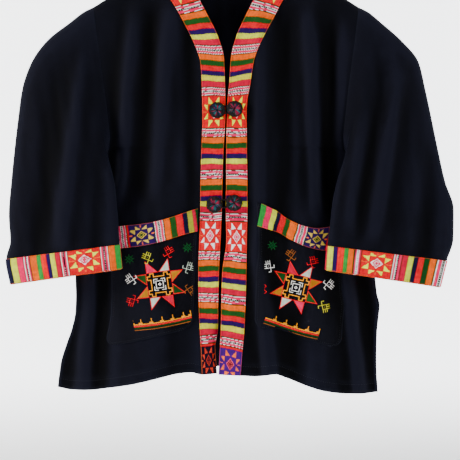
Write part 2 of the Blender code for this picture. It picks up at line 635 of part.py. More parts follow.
def build_hanger():
    """A wooden bar that follows the shoulders from inside, and the wire hook that stands on it."""
    reach = BAR[-1].x
    x = reach * np.sin(np.linspace(-math.pi / 2, math.pi / 2, BAR_STEPS + 1))
    height = smooth(np.abs(x), [section.x for section in BAR], [section.height for section in BAR])
    angle = np.linspace(0, 2 * math.pi, BAR_SIDES, endpoint=False)
    top = shoulder_drop(x) + CLOTH / 2 + BAR_GAP
    middle = -(top + height / 2)
    y = np.outer(np.full(len(x), BAR_THICK / 2), np.sin(angle))
    z = middle[:, None] + np.outer(height / 2, np.cos(angle))
    points = np.stack([np.repeat(x[:, None], BAR_SIDES, 1), y, z], axis=-1)
    mesh = bpy.data.meshes.new("hanger_bar")
    last = BAR_SIDES * BAR_STEPS
    ends = [list(range(BAR_SIDES)), list(range(last, last + BAR_SIDES))[::-1]]
    faces = grid_faces(len(x), BAR_SIDES, closed=True) + ends
    mesh.from_pydata((points.reshape(-1, 3) * MM).tolist(), [], faces)
    mesh.shade_smooth()
    add_object("hanger_bar", mesh, "hanger_wood")

    radius = HOOK_INNER + HOOK_WIRE
    start = math.radians(-50)
    arc = np.linspace(start, math.radians(195), 22)
    low = Vector((0, -HOOK_SHANK))
    high = Vector((radius * math.cos(start), radius * math.sin(start) - HOOK_INNER))
    lead = Vector((-math.sin(start), math.cos(start))) * 10
    path = [(0, 0, -(shoulder_drop(0) + CLOTH / 2 + BAR_GAP - SEAM_GAP))]
    for t in np.linspace(0, 1, 8).tolist()[:-1]:
        place = ((1 - t) ** 3 * low + 3 * t * (1 - t) ** 2 * (low + Vector((0, 9)))
                 + 3 * t * t * (1 - t) * (high - lead) + t**3 * high)
        path.append((place.x, 0, place.y))
    for angle in arc:
        path.append((radius * math.cos(angle), 0, radius * math.sin(angle) - HOOK_INNER))
    add_tube("hanger_hook", path, HOOK_WIRE, "hook_steel")


def main():
    """Builds the whole jacket on its hanger."""
    back_inward = build_back()
    for name, side in SIDES.items():
        front_inward = build_front(name, side)
        build_sleeve(name, side, np.concatenate([front_inward, back_inward[name]]))
    build_neck_ribbon()
    build_fastenings()
    build_hanger()


for old in list(bpy.data.objects):
    bpy.data.objects.remove(old)
jacket = bpy.data.collections.new("embroidered_jacket")
bpy.context.scene.collection.children.link(jacket)
main()
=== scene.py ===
"""A dark cotton jacket with embroidered ribbons, star pockets and rosette fastenings, on a plain hanger.

Lengths are in millimetres until a mesh is made. X runs to the viewer's right, +Y away from the viewer, and a
drop is a distance below the hook's crown. Left and right are the viewer's.
"""
import logging
import math
from dataclasses import dataclass, field
from enum import Enum

import bmesh
import bpy
import numpy as np
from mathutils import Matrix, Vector


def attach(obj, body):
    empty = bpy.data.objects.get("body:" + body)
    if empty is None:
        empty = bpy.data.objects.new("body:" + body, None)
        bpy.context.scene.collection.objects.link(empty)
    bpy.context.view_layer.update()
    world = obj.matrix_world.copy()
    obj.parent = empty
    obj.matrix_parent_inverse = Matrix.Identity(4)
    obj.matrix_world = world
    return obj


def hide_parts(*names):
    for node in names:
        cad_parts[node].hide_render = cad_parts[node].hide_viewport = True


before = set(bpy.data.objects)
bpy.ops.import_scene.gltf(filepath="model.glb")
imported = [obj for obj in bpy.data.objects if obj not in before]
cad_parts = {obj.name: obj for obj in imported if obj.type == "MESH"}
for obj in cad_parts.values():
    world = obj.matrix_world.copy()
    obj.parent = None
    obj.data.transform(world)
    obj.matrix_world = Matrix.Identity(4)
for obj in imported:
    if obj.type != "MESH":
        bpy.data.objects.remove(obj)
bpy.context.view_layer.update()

LOG = logging.getLogger("jacket")
MM = 0.001
Array = np.ndarray
Arrays = tuple[Array, Array]
Pair = tuple[float, float]
Triple = tuple[float, float, float]
Row = tuple[float, ...]
Socket = bpy.types.NodeSocket

CLOTH = 1.2
RIBBON = 1.0
LAYER_GAP = 0.15
RIM_GAP = 0.45
BODY_DEPTH = 34.0
DEPTH_REACH = 110.0
SHOULDER_ROUND = 7.0
SIDE_ROUND = 4.0
SIDE_TAPER = 140.0
NECK_HALF = 77.0
BACK_NECK_DIP = 14.0
ARMHOLE_TOP = (239.0, 170.0)
ARMHOLE_DEPTH = 24.0
UNDERARM_ROOM = 4.0
UNDERARM_TUCK = 3.4
HEEL = 38.0
RIDGE_REACH = 9.0
RIBBON_UNIT_START = 332.7
RIBBON_WIDTH = 43.0
CUFF_WIDTH = 44.0
PANEL_LENGTH = 755.0
STAR_LENGTH = 55.5
STAR_REACH = 19.0
STAR_MARGIN = 2.4

# Steps of the front view: millimetres in one, the step at X = 0, the step of the view's middle, and the first drop
VIEW_STEP = 1.8
VIEW_ZERO = 226.0
VIEW_MIDDLE = 230.0
VIEW_TOP = 159.0


@dataclass(frozen=True)
class Curve:
    """A smooth curve through knots that never overshoots them."""

    at: Row
    values: Row

    def __call__(self, where: Array | float) -> Array:
        """Cubic pieces whose slopes are the harmonic means of the neighbouring chords.

        Args:
            where: Places along the curve.

        Returns:
            The curve's value at each place.
        """
        knots, values = np.asarray(self.at, float), np.asarray(self.values, float)
        step = np.diff(knots)
        slope = np.diff(values) / step
        tangent = np.zeros_like(values)
        tangent[0], tangent[-1] = slope[0], slope[-1]
        agree = slope[1:] * slope[:-1] > 0
        before, after = 2 * step[1:] + step[:-1], step[1:] + 2 * step[:-1]
        low, high = np.where(agree, slope[:-1], 1.0), np.where(agree, slope[1:], 1.0)
        tangent[1:-1] = np.where(agree, (before + after) / (before / low + after / high), 0.0)
        where = np.clip(where, knots[0], knots[-1])
        i = np.clip(np.searchsorted(knots, where, side="right") - 1, 0, len(step) - 1)
        t = (where - knots[i]) / step[i]
        return (
            (1 + 2 * t) * (1 - t) ** 2 * values[i]
            + t * (1 - t) ** 2 * step[i] * tangent[i]
            + t * t * (3 - 2 * t) * values[i + 1]
            + t * t * (t - 1) * step[i] * tangent[i + 1]
        )


@dataclass(frozen=True)
class Fold:
    """One soft ridge or trough of the drape, along a slanting line."""

    x_top: float
    drop_top: float
    x_low: float
    drop_low: float
    width_top: float
    width_low: float
    height_top: float
    height_low: float

    def height(self, x: Array, drop: Array) -> Array:
        """A bell across the line, fading in and out at its ends.

        Args:
            x: Places across.
            drop: Places down.

        Returns:
            How far the cloth is pushed out there.
        """
        along = (drop - self.drop_top) / (self.drop_low - self.drop_top)
        share = np.clip(along, 0, 1)
        middle = self.x_top + (self.x_low - self.x_top) * share
        width = self.width_top + (self.width_low - self.width_top) * share
        rise = self.height_top + (self.height_low - self.height_top) * share
        fade = ease(along / 0.18 + 0.25) * ease((1 - along) / 0.18 + 0.25)
        return rise * fade * np.exp(-(((x - middle) / width) ** 2))


SHOULDER = Curve((0, 30, 77, 140, 209, 239), (84, 87, 105, 127.5, 152, 170))
ARMHOLE_BOW = Curve((0, 0.25, 0.45, 0.7, 0.9, 1.0), (0, 2.5, 4, 5, 4.5, 0))
LEAN_DROPS = (105, 160, 215, 270, 320, 380, 520, 690, 790, 830)
EDGE_DROPS = (105, 130, 159, 195, 231, 270, 312, 345, 362, 447, 494, 526, 591, 650, 700, 753, 780, 830)


def ease(t: Array | float) -> Array:
    """0 below 0, 1 above 1 and a smooth step between, 3t^2 - 2t^3."""
    t = np.clip(t, 0, 1)
    return t * t * (3 - 2 * t)


def round_over(length: Array, radius: float) -> Arrays:
    """An edge that turns over a quarter circle and then runs straight.

    Args:
        length: Distance along the cloth from the edge.
        radius: Radius of the turn.

    Returns:
        Distance in from the edge, and distance round.
    """
    angle = np.minimum(length / radius, math.pi / 2)
    past = np.maximum(length - radius * math.pi / 2, 0)
    return radius * (1 - np.cos(angle)) + past, radius * np.sin(angle)


def unrolled(distance_in: Array, radius: float) -> Array:
    """The cloth's length for a distance in from such an edge: the arc, then the straight rest."""
    near = radius * np.arccos(1 - np.minimum(distance_in, radius) / radius)
    return near + np.maximum(distance_in - radius, 0)


def shoulder_drop(x: Array | float) -> Array:
    """Drop of the cloth's top line at a distance out from the middle."""
    return SHOULDER(np.abs(x))


def ripple(x: Array, drop: Array, seed: int, strength: float) -> Array:
    """Small uneven waves of hand-woven cloth: a sum of slow sines, long down the cloth and short across it.

    Args:
        x: Places across.
        drop: Places down.
        seed: Which set of waves.
        strength: Rough height in millimetres.

    Returns:
        Height at each place.
    """
    draw = np.random.RandomState(seed)
    total = np.zeros(np.broadcast(x, drop).shape)
    for _ in range(9):
        across, down = draw.uniform(0.05, 0.32), draw.uniform(-0.05, 0.05)
        phase, share = draw.uniform(0, 2 * math.pi), draw.uniform(0.3, 1.0)
        total += share * np.sin(across * x + down * drop + phase + 1.7 * np.sin(0.011 * drop + phase))
    return strength * total / 3


def normals_of(points: Array, closed: bool = False) -> Array:
    """Unit normals of a grid of points: the cross product of its two running differences.

    Args:
        points: Rows by columns by three.
        closed: Whether the last column meets the first.

    Returns:
        One normal for each point.
    """
    across = np.roll(points, -1, 1) - np.roll(points, 1, 1) if closed else np.gradient(points, axis=1)
    normal = np.cross(across, np.gradient(points, axis=0))
    return normal / np.maximum(np.linalg.norm(normal, axis=-1, keepdims=True), 1e-9)


def stand_out(points: Array, normals: Array, reach: int, closed: bool = False) -> Array:
    """How each place stands out past the mean of its row's near columns: 0 in troughs, 1 on ridges; the cotton's
    painted light and shade follow it.

    Args:
        points: Rows by columns by three.
        normals: Outward directions.
        reach: How many columns on each side count as near.
        closed: Whether the last column meets the first.

    Returns:
        One share for each point.
    """
    near = np.pad(points, ((0, 0), (reach, reach), (0, 0)), mode="wrap" if closed else "edge")
    total = np.cumsum(np.pad(near, ((0, 0), (1, 0), (0, 0))), axis=1)
    mean = (total[:, 2 * reach + 1 :] - total[:, : -2 * reach - 1]) / (2 * reach + 1)
    return ease(0.5 + np.sum((points - mean) * normals, axis=-1) / RIDGE_REACH)


@dataclass(frozen=True)
class PocketPlace:
    """Where a pocket lies on its panel, in shares across and down.

    It has rounded low corners, a top that sags over some reach, and a ribbon whose stripes lean and whose
    inner end is cut aslant.
    """

    inner: float
    outer: float
    top: float
    ribbon_low: float
    bottom: float
    corner: float
    sag: float
    reach: float
    lean: float
    slant: float


@dataclass(frozen=True)
class Half:
    """One half of the jacket's form: its edges, its folds and its sleeve."""

    name: str
    sign: int
    edge: Row
    ribbon: Row
    outer: Curve
    hem: Curve
    underarm: Pair
    droop: float
    pocket: PocketPlace
    folds: tuple[Fold, ...]
    sleeve_folds: tuple[Fold, ...]
    rings: tuple[Row, ...]
    lean: Curve
    slip: Curve

    def armhole(self, turn: Array) -> tuple[Array, Array, Array]:
        """The armhole: a chord from shoulder to underarm that bows in, with a half ellipse for its depth.

        Args:
            turn: 0 at the top to pi at the underarm.

        Returns:
            X, drop and depth.
        """
        share = (1 - np.cos(turn)) / 2
        top = self.sign * ARMHOLE_TOP[0]
        x = top + (self.underarm[0] - top) * share - self.sign * ARMHOLE_BOW(share)
        drop = ARMHOLE_TOP[1] + (self.underarm[1] - ARMHOLE_TOP[1]) * share
        return x, drop, ARMHOLE_DEPTH * np.sin(turn)

    def outer_edge(self, drop: Array) -> Arrays:
        """X and depth of a panel's outer edge: the armhole, and below it the side seam.

        Args:
            drop: Places down.

        Returns:
            X and depth at each place.
        """
        height = self.underarm[1] - ARMHOLE_TOP[1]
        turn = np.arccos(np.clip(1 - 2 * (drop - ARMHOLE_TOP[1]) / height, -1, 1))
        hole_x, _, hole_depth = self.armhole(turn)
        past = drop - self.underarm[1]
        tuck = self.sign * UNDERARM_TUCK * ease(past / 8) * ease((50 - past) / 25)
        return np.where(past > 0, self.outer(drop) + tuck, hole_x), np.where(past > 0, 0, hole_depth)

    def depth(self, x: Array, drop: Array, length_down: Array, folds: tuple[Fold, ...], seed: int) -> Array:
        """How far the cloth stands from the middle plane.

        It turns over the shoulder and over the side seam, swells to the body's depth between them, and
        carries the folds and the fine waves, which die out near its edges.

        Args:
            x: Places across.
            drop: Places down.
            length_down: Length of cloth from the shoulder line.
            folds: The drape's folds.
            seed: Which fine waves.

        Returns:
            Distance from the plane y = 0.
        """
        below_top, turned = drop - shoulder_drop(x), round_over(length_down, SHOULDER_ROUND)[1]
        level = drop + (ARMHOLE_TOP[1] - shoulder_drop(x)) * np.exp(-below_top / 30)
        edge_x, edge_depth = self.outer_edge(drop)[0], self.outer_edge(level)[1]
        inside = np.maximum(self.sign * (edge_x - x), 0)
        full = turned + (BODY_DEPTH - SHOULDER_ROUND) * (1 - np.exp(-below_top / DEPTH_REACH))
        side_turn = SIDE_ROUND * np.sqrt(1 - (1 - np.minimum(inside / SIDE_ROUND, 1)) ** 2)
        down = np.clip((drop - ARMHOLE_TOP[1]) / (self.underarm[1] - ARMHOLE_TOP[1]), 0, 1)
        edge = np.hypot(edge_depth, side_turn * down)
        depth = edge + (full - edge) * ease(inside / SIDE_TAPER)
        calm = (1 - np.exp(-((below_top / 70) ** 2))) * ease(inside / 34)
        relief = sum(fold.height(x, drop) for fold in folds)
        fine = ripple(x, drop, seed, 0.55) * ease(below_top / 60) * ease(inside / 25)
        return np.maximum(depth + calm * relief + fine, RIM_GAP)

    def side_lengths(self, width: Array, from_side: Array, down: Array) -> Array:
        """Distance in from the side for a share from it, so that columns turn over the seam evenly."""
        turned = round_over(from_side * (width + (math.pi / 2 - 1) * SIDE_ROUND), SIDE_ROUND)[0]
        return turned + (from_side * width - turned) * (1 - ease(down / 0.36))

    def front(self, across: Array, down: Array) -> Array:
        """Points of the front panel's middle surface.

        Args:
            across: Shares from the front edge, 0, to the side, 1.
            down: Shares from the shoulder, 0, to the hem, 1.

        Returns:
            A point for each pair of shares.
        """
        extra = (math.pi / 2 - 1) * SHOULDER_ROUND
        edge_x = Curve(EDGE_DROPS, self.edge)(EDGE_DROPS[0] + down * (EDGE_DROPS[-1] - EDGE_DROPS[0]))
        side_low = self.outer.at[-1] - ARMHOLE_TOP[1]
        side_drop = ARMHOLE_TOP[1] + round_over(down * (side_low + extra), SHOULDER_ROUND)[0]
        side_x = self.outer_edge(side_drop)[0]
        x = side_x - self.sign * self.side_lengths(np.abs(side_x - edge_x), 1 - across, down)
        top = shoulder_drop(NECK_HALF + (ARMHOLE_TOP[0] - NECK_HALF) * across)
        low_x = self.edge[-1] + (self.outer.values[-1] - self.edge[-1]) * across
        length_down = down * (self.hem(low_x) - top + extra)
        sag = self.droop * np.sin(math.pi * down) ** 2 * (across - 0.44) * 4 * across * (1 - across)
        place = self.pocket
        share = np.clip((across - place.inner) / (place.outer - place.inner), 0, 1)
        sag = sag + place.sag * np.sin(math.pi * share) * np.exp(-(((down - place.top) / place.reach) ** 2))
        drop = np.maximum(top + round_over(length_down, SHOULDER_ROUND)[0] + sag, shoulder_drop(x))
        return np.stack([x, -self.depth(x, drop, length_down, self.folds, 3 + self.sign), -drop], axis=-1)

    def front_at(self, x: Array, drop: Array) -> Array:
        """Points of the front panel's middle surface at places given by X and drop."""
        length = unrolled(np.maximum(drop - shoulder_drop(x), 0), SHOULDER_ROUND)
        return np.stack([x, -self.depth(x, drop, length, self.folds, 3 + self.sign), -drop], axis=-1)

    def sleeve(self, ring: Array, turn: Array) -> Array:
        """Points of the sleeve's middle surface: flattened loops between an outer and an inner fold line.

        Args:
            ring: Number of the loop, 0 at the armhole and 12 at the cuff.
            turn: Angle round, 0 at the outer fold, front first, pi at the inner fold.

        Returns:
            A point for each pair.
        """
        number = tuple(range(len(self.rings)))
        columns = [Curve(number, values)(ring) for values in zip(*self.rings)]
        outer_x, outer_drop, inner_x, inner_drop, outer_y, inner_y, front, back = columns
        share = (1 - np.cos(turn)) / 2
        behind = turn > math.pi
        bow = ARMHOLE_BOW(share) * np.exp(-((ring / np.where(behind, 0.7, 1.6)) ** 2))
        room = UNDERARM_ROOM * share**8 * (np.exp(-ring / 1.2) - np.exp(-ring / 0.3))
        heel = HEEL * share**6 * np.sqrt(1 - share) * ring / 1.2 * np.exp(1 - ring / 1.2)
        x = outer_x + (inner_x - outer_x) * share + self.sign * (room - bow + heel * behind)
        drop = outer_drop + (inner_drop - outer_drop) * share
        middle = outer_y + (inner_y - outer_y) * share ** (1 + 2.5 * np.exp(-ring / 3))
        swing = 1 - 0.3 * share * (1 - np.exp(-1.5 * ring))
        bulge = np.where(behind, back * swing, front) * np.sin(turn)
        calm = np.abs(np.sin(turn)) * ease(ring / 3)
        relief = sum(fold.height(x, drop) for fold in self.sleeve_folds)
        fine = ripple(x, drop, 11 + self.sign, 0.5) * np.abs(np.sin(turn)) * ease(ring / 2)
        seam = 1.1 * np.exp(-((ring / 0.05) ** 2)) * np.sin(turn)
        y = middle - bulge - np.where(behind, -0.6, 1.0) * (calm * relief + fine) + seam
        return np.stack([x, y, -drop], axis=-1)


LEFT = Half(
    name="left",
    sign=-1,
    edge=(-77, -66, -50, -31, -14, -3.5, -1.8, -0.9, -0.8, -5, -6.3, -7, -9.5, -12.6, -13.7, -15.3, -20, -17),
    ribbon=(
        -127, -112, -94, -75, -57, -45, -42.4, -41.6, -41.4, -44, -45, -45.4, -47.3, -49, -48.4, -46.5, -45, -43,
    ),
    outer=Curve((425, 450, 480, 520, 570, 620, 655, 690, 720, 750, 782, 812, 856),
                (-211, -213, -221, -237, -255, -268, -272, -271, -272, -278, -289, -298, -303.5)),
    hem=Curve((-303.5, -276, -236, -209, -164, -119, -83, -62, -43, -17),
              (856, 860.5, 860, 856, 848, 837, 829, 827, 831, 830)),
    underarm=(-211, 425),
    droop=0.0,
    pocket=PocketPlace(0.165, 0.735, 0.594, 0.649, 0.893, 22.0, 5.5, 0.11, -0.12, 0.0),
    folds=(
        Fold(-160, 120, -196, 540, 20, 14, 12, 9),
        Fold(-132, 150, -152, 520, 15, 14, -8, -4),
        Fold(-96, 150, -128, 520, 18, 16, 9, 4),
        Fold(-66, 180, -62, 560, 14, 12, -5, -3),
        Fold(-250, 600, -262, 940, 16, 20, 6, 8),
        Fold(-219, 600, -226, 900, 12, 16, -7, -6),
        Fold(-118, 700, -150, 960, 30, 40, 4, 9),
        Fold(-10, 720, -10, 960, 17, 20, -14, -20),
    ),
    sleeve_folds=(
        Fold(-252, 240, -296, 620, 14, 20, 5, 7),
        Fold(-300, 250, -338, 640, 20, 24, -3, -5),
        Fold(-222, 380, -228, 640, 14, 16, -3, -5),
    ),
    rings=(
        (-239, 170, -211, 425, 0, 0, 24, 24), (-256, 179, -213, 440, -3, -15, 25, 19),
        (-284, 201, -207, 457, -6, -24, 25, 16), (-320, 230, -202, 476, -9, -32, 23, 13),
        (-349, 270, -198, 495, -12, -37, 21, 11), (-366, 320, -196, 515, -15, -40, 19, 8),
        (-373, 374, -194, 534, -18, -43, 18, 8), (-379, 430, -192, 552, -21, -45, 17, 8),
        (-384, 486, -191, 568, -24, -46, 16, 8), (-388, 544, -190, 583, -27, -47, 15, 9),
        (-385, 592, -189, 593, -29, -48, 15, 9), (-392, 625, -189, 599, -30, -48, 15, 10),
        (-384, 669, -185, 641, -31, -49, 15, 10),
    ),
    lean=Curve(LEAN_DROPS, (0.38, 0.3, 0.05, -0.08, -0.02, 0, 0.02, -0.02, 0.05, 0.02)),
    slip=Curve((274, 500, 650, 830), (-1.8, 0.2, 1.8, 3.2)),
)
RIGHT = Half(
    name="right",
    sign=1,
    edge=(77, 67, 52, 34, 18, 8.5, 5.6, 2.6, 2, 0.4, 0.5, -0.6, 0.4, -6.6, -8.3, -9.4, -10.8, -13.3),
    ribbon=(127, 113, 97, 79, 62, 49.5, 43, 37.5, 36.5, 37.6, 38.2, 38.3, 37.2, 36.2, 34.5, 32, 29.5, 25.5),
    outer=Curve((425, 450, 480, 520, 570, 620, 665, 690, 708, 730, 760, 810, 865),
                (213, 215, 222, 236, 253, 265, 270, 273, 277.5, 275.5, 272.5, 271.5, 273.5)),
    hem=Curve((-13.3, 27, 52, 85, 106, 146, 177, 217, 247, 273.5),
              (831, 833, 834, 830, 837, 852.5, 862, 867, 867, 865)),
    underarm=(213, 425),
    droop=32.0,
    pocket=PocketPlace(0.215, 0.765, 0.575, 0.634, 0.885, 22.0, 19.5, 0.094, 0.2, 0.062),
    folds=(
        Fold(62, 150, 57, 640, 15, 13, 7, 8),
        Fold(56, 600, 84, 900, 14, 15, 8, 12),
        Fold(104, 120, 104, 600, 20, 18, -9, -6),
        Fold(144, 120, 163, 560, 16, 14, 11, 9),
        Fold(186, 120, 186, 560, 20, 14, -12, -9),
        Fold(212, 620, 250, 920, 15, 17, 8, 11),
        Fold(238, 560, 262, 800, 12, 12, -6, -6),
        Fold(122, 700, 116, 960, 22, 30, -5, -9),
    ),
    sleeve_folds=(
        Fold(318, 260, 258, 600, 14, 16, 6, 7),
        Fold(286, 260, 234, 560, 13, 14, -5, -4),
        Fold(256, 230, 214, 600, 14, 14, 4, 5),
        Fold(372, 420, 352, 640, 18, 22, -4, -5),
    ),
    rings=(
        (239, 170, 213, 425, 0, 0, 24, 24), (256, 179, 216, 440, -3, -13, 25, 20),
        (282, 201, 208, 457, -6, -24, 25, 16), (316, 232, 201, 477, -9, -33, 23, 13),
        (346, 270, 195, 498, -12, -38, 21, 11), (358, 320, 191, 518, -15, -41, 19, 8),
        (369, 374, 188, 537, -18, -44, 18, 8), (380, 430, 186, 555, -21, -46, 17, 8),
        (392, 486, 184, 570, -24, -47, 16, 8), (407, 536, 182, 584, -27, -48, 15, 9),
        (406, 588, 181, 593, -29, -49, 15, 9), (394, 628, 180, 601, -30, -49, 15, 10),
        (382, 674, 177, 643, -31, -50, 15, 10),
    ),
    lean=Curve(LEAN_DROPS, (0.38, 0.3, 0.0, -0.12, -0.16, 0, 0.02, 0.13, 0.2, 0.06)),
    slip=Curve((274, 500, 650, 830), (-0.6, 0, -1.8, -3.2)),
)
BACK_HEM = Curve((-303.5, -230, -120, 0, 110, 210, 273.5), (856, 856, 834, 822, 832, 858, 865))
BACK_FOLDS = (
    Fold(-196, 170, -236, 940, 20, 26, 6, 9),
    Fold(-128, 150, -150, 940, 24, 30, -5, -8),
    Fold(-66, 150, -74, 940, 24, 30, 6, 10),
    Fold(4, 180, -6, 940, 24, 28, -5, -8),
    Fold(72, 150, 78, 940, 24, 30, 6, 10),
    Fold(134, 150, 150, 940, 24, 28, -5, -8),
    Fold(196, 170, 226, 940, 20, 26, 6, 9),
)


def linear(red: int, green: int, blue: int) -> Triple:
    """A display colour of 0 to 255 as scene-linear values."""
    return tuple(c / 255 / 12.92 if c < 11 else ((c / 255 + 0.055) / 1.055) ** 2.4 for c in (red, green, blue))


class Thread(Enum):
    """The thread colours of the embroidery."""

    BLACK = linear(6, 6, 9)
    RED = linear(216, 0, 22)
    CORAL = linear(240, 16, 16)
    ORANGE = linear(232, 92, 0)
    GREEN = linear(22, 71, 19)
    LEAF = linear(4, 58, 12)
    MINT = linear(39, 142, 54)
    PURPLE = linear(32, 0, 74)
    NAVY = linear(4, 3, 39)
    LIME = linear(206, 212, 52)
    YELLOW = linear(206, 202, 48)
    CRIMSON = linear(194, 0, 50)
    PINK = linear(230, 4, 84)
    WHITE = linear(249, 247, 243)
    STAR_LIME = linear(244, 249, 56)
    GOLD = linear(238, 150, 8)
    OCHRE = linear(172, 111, 2)
    TAN = linear(152, 85, 27)
    SALMON = linear(244, 104, 36)
    GREY = linear(190, 204, 188)
    PLUM = linear(16, 0, 24)
    RUST = linear(214, 52, 24)
    VIOLET = linear(64, 6, 112)
    WINE = linear(104, 14, 30)
    ROSE = linear(240, 84, 104)
    FOREST = linear(0, 74, 26)
    OLIVE = linear(150, 148, 40)
    STRAW = linear(222, 186, 66)


@dataclass
class Chart:
    """Colour, height and amount of stitching for each place on a piece, built up in layers."""

    shape: tuple[int, ...]
    ground: Thread = Thread.BLACK
    colour: Array = field(init=False)
    height: Array = field(init=False)
    stitched: Array = field(init=False)

    def __post_init__(self) -> None:
        """Starts with the bare ground."""
        self.colour = np.broadcast_to(np.array(self.ground.value), (*self.shape, 3)).copy()
        self.height = np.zeros(self.shape)
        self.stitched = np.zeros(self.shape)

    def lay(self, mask: Array, thread: Thread, height: float = 0.3, stitched: float = 1.0) -> None:
        """Works a thread over the places that the mask holds."""
        self.colour[mask] = thread.value
        self.height[mask] = height
        self.stitched[mask] = stitched

    def blend(self, weight: Array, thread: Thread, amount: float) -> None:
        """Shifts the colour towards a thread by a weight of 0 to 1 times an amount."""
        share = (np.clip(weight, 0, 1) * amount)[..., None]
        self.colour = self.colour * (1 - share) + np.array(thread.value) * share

    def shade(self, factor: Array) -> None:
        """Darkens or lightens the colour by a factor."""
        self.colour = self.colour * factor[..., None]


def depth_inside(x: Array, y: Array, corners: tuple[Pair, ...]) -> Array:
    """Distance in from the nearest side of a convex outline, negative outside.

    Args:
        x: Places across.
        y: Places along.
        corners: The outline's corners in order.

    Returns:
        The least of the signed distances from its sides.
    """
    here = np.asarray(corners, float)
    after = np.roll(here, -1, 0)
    turn = np.sign(np.sum(here[:, 0] * after[:, 1] - after[:, 0] * here[:, 1]))
    depth = np.full(np.shape(x), np.inf)
    for (ax, ay), (bx, by) in zip(here, after):
        off = ((bx - ax) * (y - ay) - (by - ay) * (x - ax)) / math.hypot(bx - ax, by - ay)
        depth = np.minimum(depth, turn * off)
    return depth


def distance_to(x: Array, y: Array, path: tuple[Pair, ...]) -> Array:
    """Distance from the nearest point of a path of straight runs: the foot on each run, held to its ends.

    Args:
        x: Places across.
        y: Places along.
        path: The path's corners.

    Returns:
        The least distance.
    """
    best = np.full(np.shape(x), np.inf)
    for (ax, ay), (bx, by) in zip(path, path[1:]):
        square = (bx - ax) ** 2 + (by - ay) ** 2
        share = np.clip(((x - ax) * (bx - ax) + (y - ay) * (by - ay)) / square, 0, 1)
        best = np.minimum(best, np.hypot(x - ax - share * (bx - ax), y - ay - share * (by - ay)))
    return best


def turned_to(x: Array, y: Array, angle: float) -> Arrays:
    """The same places in axes turned by an angle: across, and along."""
    cos, sin = math.cos(angle), math.sin(angle)
    return x * cos - y * sin, x * sin + y * cos


class Pattern(Enum):
    """What is worked on a stripe."""

    PLAIN = "plain"
    DOTTED = "dotted"
    STAR = "star"


@dataclass(frozen=True)
class Stripe:
    """One stripe of a ribbon."""

    length: float
    pattern: Pattern
    ground: Thread
    petals: Thread = Thread.STAR_LIME
    core: Thread = Thread.PINK
    rim: Thread = Thread.WHITE


STAR_PETALS = (((10.3, 26.4), (10.7, 13.9), (1.4, 14.5)), ((18.2, 12.6), (10.9, 12.4), (11.3, 1.6)))
STAR_RAYS = (((0, 27.4), (1.3, 27.4), (0, 15.5)), ((19, 0), (19, 1.3), (13, 0)))
DOT_LINES = (
    (0.11, Thread.LEAF), (0.16, Thread.WHITE), (0.38, Thread.PINK), (0.42, Thread.WHITE), (0.60, Thread.BLACK),
    (0.64, Thread.WHITE), (0.86, Thread.PINK), (0.90, Thread.WHITE), (9.0, Thread.LEAF),
)


@dataclass(frozen=True)
class Braid:
    """The row of stripes of one ribbon, from a starting place along it."""

    start: float
    stripes: tuple[Stripe, ...]

    def work(self, chart: Chart, along: Array, across: Array, half_width: float) -> None:
        """Works every stripe, with a shallow furrow where one meets the next, painted darker there as shade.

        Args:
            chart: What is worked.
            along: Distance along the ribbon.
            across: Distance from its middle line.
            half_width: Half its width.
        """
        begin = self.start
        furrow = np.zeros(chart.shape)
        for number, stripe in enumerate(self.stripes):
            end = begin + stripe.length
            first, last = number == 0, number == len(self.stripes) - 1
            here = ((along >= begin) | first) & ((along < end) | last)
            chart.lay(here, stripe.ground)
            furrow += np.exp(-(((along - end) / 0.7) ** 2))
            if stripe.pattern is Pattern.DOTTED:
                self.dots(chart, here, (along - begin) / stripe.length, across)
            if stripe.pattern is Pattern.STAR:
                middle = (along - begin - stripe.length / 2) / stripe.length * STAR_LENGTH
                self.star(chart, here, across / (half_width - STAR_MARGIN) * STAR_REACH, middle, stripe)
            begin = end
        chart.height -= 0.25 * np.clip(furrow, 0, 1)
        # Painted shade: the colour is darkened along each furrow.
        chart.shade(1 - 0.28 * np.clip(furrow, 0, 1))

    @staticmethod
    def dots(chart: Chart, here: Array, share: Array, across: Array) -> None:
        """Seven fine lines, the middle one black with a row of white dots.

        Args:
            chart: What is worked.
            here: Places on the stripe.
            share: How far along the stripe each place is.
            across: Distance from the ribbon's middle line.
        """
        low = -9.0
        for high, thread in DOT_LINES:
            chart.lay(here & (share >= low) & (share < high), thread, 0.35)
            low = high
        spot = np.abs((across / 3.6) % 1 - 0.5) * 3.6
        chart.lay(here & (np.hypot(spot, (share - 0.5) * 15) < 0.8), Thread.GREY, 0.5)

    @staticmethod
    def star(chart: Chart, here: Array, x: Array, y: Array, stripe: Stripe) -> None:
        """Eight petals in pairs, a thin ray between each pair, and rings of a diamond in the middle.

        Mirrored quarters: every outline is tested on the places' absolute values.

        Args:
            chart: What is worked.
            here: Places on the stripe.
            x: Places across, 19 at the petals' tips.
            y: Places along, 27 at the petals' tips.
            stripe: The star's threads.
        """
        x, y = np.abs(x), np.abs(y)
        for ray in STAR_RAYS:
            chart.lay(here & (depth_inside(x, y, ray) > 0), Thread.SALMON, 0.4)
        for petal in STAR_PETALS:
            chart.lay(here & (depth_inside(x, y, petal) > 0), stripe.petals, 0.6)
        ring = x / 7.8 + y / 11.2
        for limit, thread in ((1, stripe.rim), (0.8, stripe.core), (0.5, stripe.rim), (0.4, stripe.core)):
            chart.lay(here & (ring < limit), thread, 0.6)


